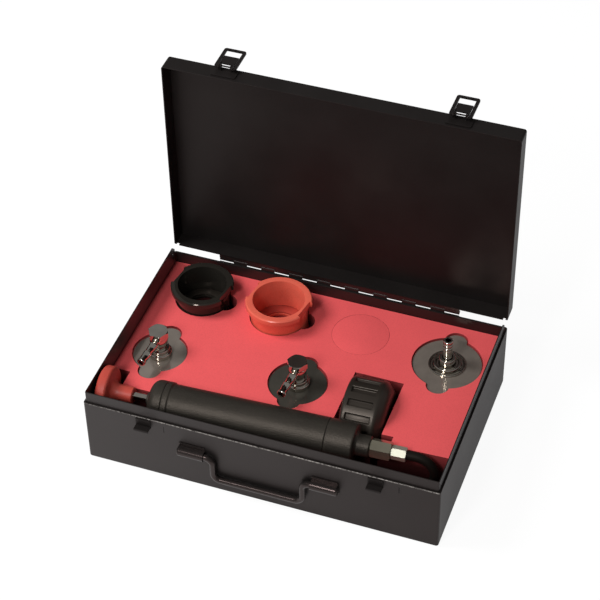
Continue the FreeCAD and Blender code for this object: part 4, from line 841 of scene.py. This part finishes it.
def boot():
    """Rubber boot: spun, its recesses pressed in between the bars, its edges rounded."""
    piece = spun("gauge_boot_look", BOOT_PROFILE, ALONG_X, steps=BOOT_STEPS)
    pick(piece, on_recess)
    with editing(everything=False):
        bpy.ops.mesh.select_mode(type="FACE")
        inwards = {"value": -RECESS_DEPTH * MM}
        bpy.ops.mesh.extrude_region_shrink_fatten(TRANSFORM_OT_shrink_fatten=inwards)
    piece.data.transform(GAUGE)
    soften(piece, BOOT_EDGE * MM, 3, BOOT_SHARP_ANGLE, weighted=False)
    settle(piece, "black_rubber", "gauge_boot")


def tick(angle, length, width):
    """A raised mark on the dial, at an angle from straight up."""
    bpy.ops.mesh.primitive_cube_add(size=1)
    mark = bpy.context.active_object
    turn = GAUGE @ Matrix.Rotation(angle, 4, "X")
    middle = Matrix.Translation((DIAL_FACE * MM, (TICK_END_R - length / 2) * MM, 0))
    shape = Matrix.Diagonal((TICK_HEIGHT * MM, length * MM, width * MM, 1))
    mark.data.transform(turn @ middle @ shape)
    return mark


def number(angle, value):
    """A raised upright number on the dial, at an angle from straight up."""
    bpy.ops.object.text_add()
    text = bpy.context.active_object.data
    text.body = str(value)
    text.size = NUMBER_SIZE * MM
    text.extrude = NUMBER_HALF_HEIGHT * MM
    text.resolution_u = 3
    text.align_x = text.align_y = "CENTER"
    bpy.ops.object.convert(target="MESH")
    mark = bpy.context.active_object
    radius = NUMBER_R * MM
    spot = (DIAL_FACE * MM, radius * math.cos(angle), radius * math.sin(angle))
    mark.data.transform(GAUGE @ Matrix.Translation(spot) @ TO_DIAL)
    return mark


def dial_marks():
    """Ticks and plain numbers, joined into one piece that stands a hair above the dial's face."""
    marks = []
    for value in range(LAST_VALUE + 1):
        angle = math.radians(DIAL_START + DEGREES_PER_TICK * value)
        numbered = value % NUMBER_EVERY == 0
        marks.append(tick(angle, *(LONG_TICK if numbered else SHORT_TICK)))
        if numbered:
            marks.append(number(angle, value))
    only(*marks)
    bpy.ops.object.join()
    piece = bpy.context.active_object
    piece.name = piece.data.name = "dial_marks"
    with editing():
        bpy.ops.mesh.remove_doubles(threshold=SPUN_MERGE)
        bpy.ops.mesh.normals_make_consistent(inside=False)
    piece.data.materials.clear()
    piece.data.materials.append(FINISHES["pointer_black"])
    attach(piece, BODIES["gauge_dial"])


class KIT_OT_gauge(bpy.types.Operator):
    """Gauge: rubber boot with its bars, steel case, dial with its marks"""

    bl_idname = "kit.gauge"
    bl_label = "Gauge"

    def execute(self, context):
        sizes, _ = kit(context)
        boot()
        dial_marks()
        dressed("gauge_case", sizes.turned_edge, whole=True)
        return {"FINISHED"}


# ---------------------------------------------------------------- cups and caps


# The cups' rims are rounder than the other mouldings' edges.
CUP_EDGE_SHARE = 1.6


class KIT_OT_cups(bpy.types.Operator):
    """The two filler-neck cups and their seals"""

    bl_idname = "kit.cups"
    bl_label = "Cups"

    def execute(self, context):
        sizes, _ = kit(context)
        for node, finish in (("black_adapter", "glossy_black"), ("red_adapter", "cup_red")):
            dressed(node, sizes.moulded_edge * CUP_EDGE_SHARE, finish, segments=3, whole=True)
        for node in ("black_adapter_seal", "red_adapter_seal"):
            dressed(node, sizes.moulded_edge, whole=True)
        return {"FINISHED"}


# Profiles of the caps' fittings from the underside of the plate, in millimetres.  Every collar
# begins with the seal's washer and the neck that goes through the plate.
CAP_NECK = [(0, -7), (15, -7), (15, -5), (6, -5), (6, 1.2)]
NIPPLE_R = 4.5
NIPPLE_BORE = 2.8
NIPPLE_FOOT = 2
NIPPLE_END = 34.4
BARB_R = 4.9

LOW_COLLAR_PROFILE = [
    *CAP_NECK, (18.5, 1.2), (18.5, 2.0), *arc((17.7, 2.0), 0.8, 0, 90), (16.6, 2.6), (16.2, 1.5),
    (14.2, 1.5), (14.0, 4.4), *arc((12.9, 4.4), 1.1, 0, 90), (11.2, 5.3), (10.6, 3.4), (8.6, 3.4),
    (8.2, 10.2), *arc((7.0, 10.2), 1.2, 0, 90), (5.4, 11.4), (5.0, 9.6), (NIPPLE_R, 9.6),
    (NIPPLE_R, NIPPLE_FOOT), (0, NIPPLE_FOOT),
]
NIPPLE_PROFILE = [
    (NIPPLE_BORE, NIPPLE_FOOT), (NIPPLE_R, NIPPLE_FOOT), (NIPPLE_R, 21.8), (4.2, 22.1), (4.2, 22.9),
    (BARB_R, 23.3), (BARB_R, 25.4), (4.3, 26.0), (4.3, 26.8), (BARB_R, 27.2), (BARB_R, 29.2),
    (4.3, 29.8), (4.3, 30.6), (BARB_R, 31.0), (BARB_R, 33.7), (4.2, NIPPLE_END),
    (NIPPLE_BORE, NIPPLE_END),
]

UNION_FOOT = 16.7
UNION_TOP = 25.7
UNION_R = 9.0
UNION_BORE = 4
ARM_Z = 21.2
ARM_TURN = math.radians(-5.6)
ARM_R = 3.9
ARM_BORE = 2.4
ARM_START = 7
ARM_END = 37
BEAD_R = 4.25

HIGH_COLLAR_PROFILE = [
    *CAP_NECK, (12, 1.2), (12, 5.2), *arc((11, 5.2), 1, 0, 90), (10.4, 6.2), (10, 6.6), (10, 9.7),
    *arc((9.2, 9.7), 0.8, 0, 90), (7.4, 10.5), (7.0, 10.9), (7.0, UNION_FOOT), (0, UNION_FOOT),
]
UNION_PROFILE = [
    (UNION_BORE, UNION_FOOT), (8.3, UNION_FOOT), (8.8, 17.2), (UNION_R, 18.2), (UNION_R, 24.2),
    (8.8, 25.2), (8.3, UNION_TOP), (UNION_BORE, UNION_TOP),
]
ARM_PROFILE = [
    (ARM_BORE, ARM_START), (3.6, ARM_START), (3.6, 9.6), (BEAD_R, 10.2), (BEAD_R, 12.6),
    (ARM_R, 13.2), (ARM_R, 22.4), (BEAD_R, 23), (BEAD_R, 24), (ARM_R, 24.6), (ARM_R, 33.6),
    (BEAD_R, 34.2), (BEAD_R, 36.4), (3.7, ARM_END), (ARM_BORE, ARM_END),
]
# Roundings in millimetres.
COLLAR_EDGE = 0.12
NIPPLE_EDGE = 0.1
UNION_EDGE = 0.15
BOLT_EDGE = 0.5
ARM_STEPS = 64


def banjo_cap(side):
    """Stepped collar, union ring with its hollow arm, and the hexagon bolt on top."""
    place = foot(f"cap_{side}_plate")
    turned(f"cap_{side}_collar", HIGH_COLLAR_PROFILE, place, COLLAR_EDGE)
    ring = spun(f"cap_{side}_union_look", UNION_PROFILE, place, UNION_EDGE)
    turn = Matrix.Rotation(ARM_TURN, 4, "Z")
    arm_place = place @ Matrix.Translation((0, 0, ARM_Z * MM)) @ turn @ ALONG_MINUS_Y
    arm = spun("arm", ARM_PROFILE, arm_place, UNION_EDGE, ARM_STEPS)
    only(ring, arm)
    bpy.ops.object.join()
    settle(ring, "chrome", f"cap_{side}_union")
    dressed(f"cap_{side}_bolt", BOLT_EDGE * MM, segments=3)


class KIT_OT_caps(bpy.types.Operator):
    """The three chrome test caps"""

    bl_idname = "kit.caps"
    bl_label = "Test caps"

    def execute(self, context):
        sizes, _ = kit(context)
        # The mid cap's plate gets the darker copy: painted shadow of its bolt.
        plates = {"left": "satin_plate", "mid": "shaded_plate", "right": "satin_plate"}
        for side, finish in plates.items():
            dressed(f"cap_{side}_plate", sizes.turned_edge, finish)
            dressed(f"cap_{side}_seal", sizes.moulded_edge, whole=True)
        place = foot("cap_right_plate")
        turned("cap_right_collar", LOW_COLLAR_PROFILE, place, COLLAR_EDGE)
        turned("cap_right_nipple", NIPPLE_PROFILE, place, NIPPLE_EDGE)
        for side in ("mid", "left"):
            banjo_cap(side)
        return {"FINISHED"}


# ---------------------------------------------------------------- stage


# Places and sizes of the stage in metres, angles in radians, lamps in watts.
CAMERA_PLACE = Vector((0.47259, -1.26074, 1.42344))
CAMERA_YAW = 0.357039
CAMERA_PITCH = 0.753602
CAMERA_ROLL = -0.019642
CAMERA_LENS_MM = 117.939
SENSOR_WIDTH_MM = 36
CAMERA_RANGE = (0.05, 30)

KIT_MIDDLE = Vector((0, 0, 0.05))
KEY_PLACE = Vector((-0.9, -0.25, 1.15))
KEY_SIZE = (0.6, 0.6)
KEY_POWER = 15
FRONT_PLACE = Vector((-0.25, -1.5, 1.5))
FRONT_SIZE = (0.35, 0.5)
FRONT_POWER = 14
ROOM_LIGHT = 0.25

WHITE = opaque(grey(1.0))
FLOOR_SIZE = 14
FLOOR_Z = -0.0002
FLOOR_GLOW = 1.09
GLOW_TO_ALL = 0.35
GLOW_TO_CAMERA = 0.5


def camera_turn():
    """The camera's axes as a matrix: right, up and back."""
    back = Vector((math.sin(CAMERA_YAW) * math.cos(CAMERA_PITCH),
                   -math.cos(CAMERA_YAW) * math.cos(CAMERA_PITCH), math.sin(CAMERA_PITCH)))
    right = (-back).cross(Vector((0, 0, 1))).normalized()
    up = right.cross(-back)
    cos_roll, sin_roll = math.cos(CAMERA_ROLL), math.sin(CAMERA_ROLL)
    rolled_right = cos_roll * right + sin_roll * up
    rolled_up = cos_roll * up - sin_roll * right
    return Matrix((rolled_right, rolled_up, back)).transposed().to_4x4()


def camera():
    """The camera, at its own place and turn."""
    data = bpy.data.cameras.new("camera")
    data.lens = CAMERA_LENS_MM
    data.sensor_width = SENSOR_WIDTH_MM
    data.clip_start, data.clip_end = CAMERA_RANGE
    piece = linked("camera", data)
    piece.matrix_world = Matrix.Translation(CAMERA_PLACE) @ camera_turn()
    return piece


def softbox(name, place, size, power):
    data = bpy.data.lights.new(name, "AREA")
    data.shape = "RECTANGLE"
    data.size, data.size_y = size
    data.energy = power
    lamp = linked(name, data)
    lamp.location = place
    lamp.rotation_euler = (KIT_MIDDLE - place).to_track_quat("-Z", "Y").to_euler()
    return lamp


def floor_finish():
    finish = Finish("floor_white")
    finish.tree.nodes.remove(finish.shader)
    tint = finish.mix(finish.noise(0.4), grey(0.80), grey(0.82))
    lit = finish.add("ShaderNodeBsdfDiffuse", None, {"Color": tint})
    glow = finish.add("ShaderNodeEmission", None, {"Color": WHITE, "Strength": FLOOR_GLOW})
    camera_ray, mirror_ray, glass_ray = (
        finish.add("ShaderNodeLightPath", out=f"Is {kind} Ray")
        for kind in ("Camera", "Glossy", "Transmission"))
    seen = camera_ray.or_more(mirror_ray).or_more(glass_ray)
    share = seen * GLOW_TO_ALL + camera_ray * GLOW_TO_CAMERA
    both = finish.add("ShaderNodeMixShader", None, {0: share, 1: lit, 2: glow})
    finish.link(both, finish.tree.nodes["Material Output"].inputs["Surface"])
    return finish.material


def room():
    world = bpy.data.worlds.new("studio")
    nodes = Nodes(world)
    camera_ray = nodes.add("ShaderNodeLightPath", out="Is Camera Ray")
    background = nodes.tree.nodes["Background"]
    background.inputs["Color"].default_value = WHITE
    nodes.link(camera_ray * (1 - ROOM_LIGHT) + ROOM_LIGHT, background.inputs["Strength"])
    return world


class KIT_OT_stage(bpy.types.Operator):
    """White floor, soft lamps and the camera"""

    bl_idname = "kit.stage"
    bl_label = "Stage"

    def execute(self, context):
        bpy.ops.object.select_all(action="DESELECT")
        bpy.ops.mesh.primitive_plane_add(size=FLOOR_SIZE, location=(0, 0, FLOOR_Z))
        floor = context.active_object
        floor.name = "floor"
        floor.data.materials.append(floor_finish())
        key = softbox("key", KEY_PLACE, KEY_SIZE, KEY_POWER)
        key.visible_glossy = False
        softbox("front", FRONT_PLACE, FRONT_SIZE, FRONT_POWER)
        context.scene.world = room()
        context.scene.camera = camera()
        context.scene.view_settings.view_transform = "Standard"
        return {"FINISHED"}


# ---------------------------------------------------------------- add-on


OPERATORS = (KIT_OT_finishes, KIT_OT_stage, KIT_OT_case, KIT_OT_lid, KIT_OT_foam,
             KIT_OT_pump, KIT_OT_gauge, KIT_OT_cups, KIT_OT_caps)


class KIT_PT_panel(bpy.types.Panel):
    bl_label = "Tester kit"
    bl_idname = "KIT_PT_panel"
    bl_space_type = "VIEW_3D"
    bl_region_type = "UI"
    bl_category = "Tester kit"

    def draw(self, context):
        for group in kit(context):
            for name in group.__annotations__:
                self.layout.prop(group, name)
        for operator in OPERATORS:
            self.layout.operator(operator.bl_idname)


CLASSES = (KitSizes, KitColours, *OPERATORS, KIT_PT_panel)


def register():
    for item in CLASSES:
        bpy.utils.register_class(item)
    bpy.types.Scene.kit_sizes = bpy.props.PointerProperty(type=KitSizes)
    bpy.types.Scene.kit_colours = bpy.props.PointerProperty(type=KitColours)


def unregister():
    del bpy.types.Scene.kit_sizes
    del bpy.types.Scene.kit_colours
    for item in reversed(CLASSES):
        bpy.utils.unregister_class(item)


def main():
    register()
    for operator in OPERATORS:
        group, name = operator.bl_idname.split(".")
        getattr(getattr(bpy.ops, group), name)()


if __name__ == "__main__":
    main()
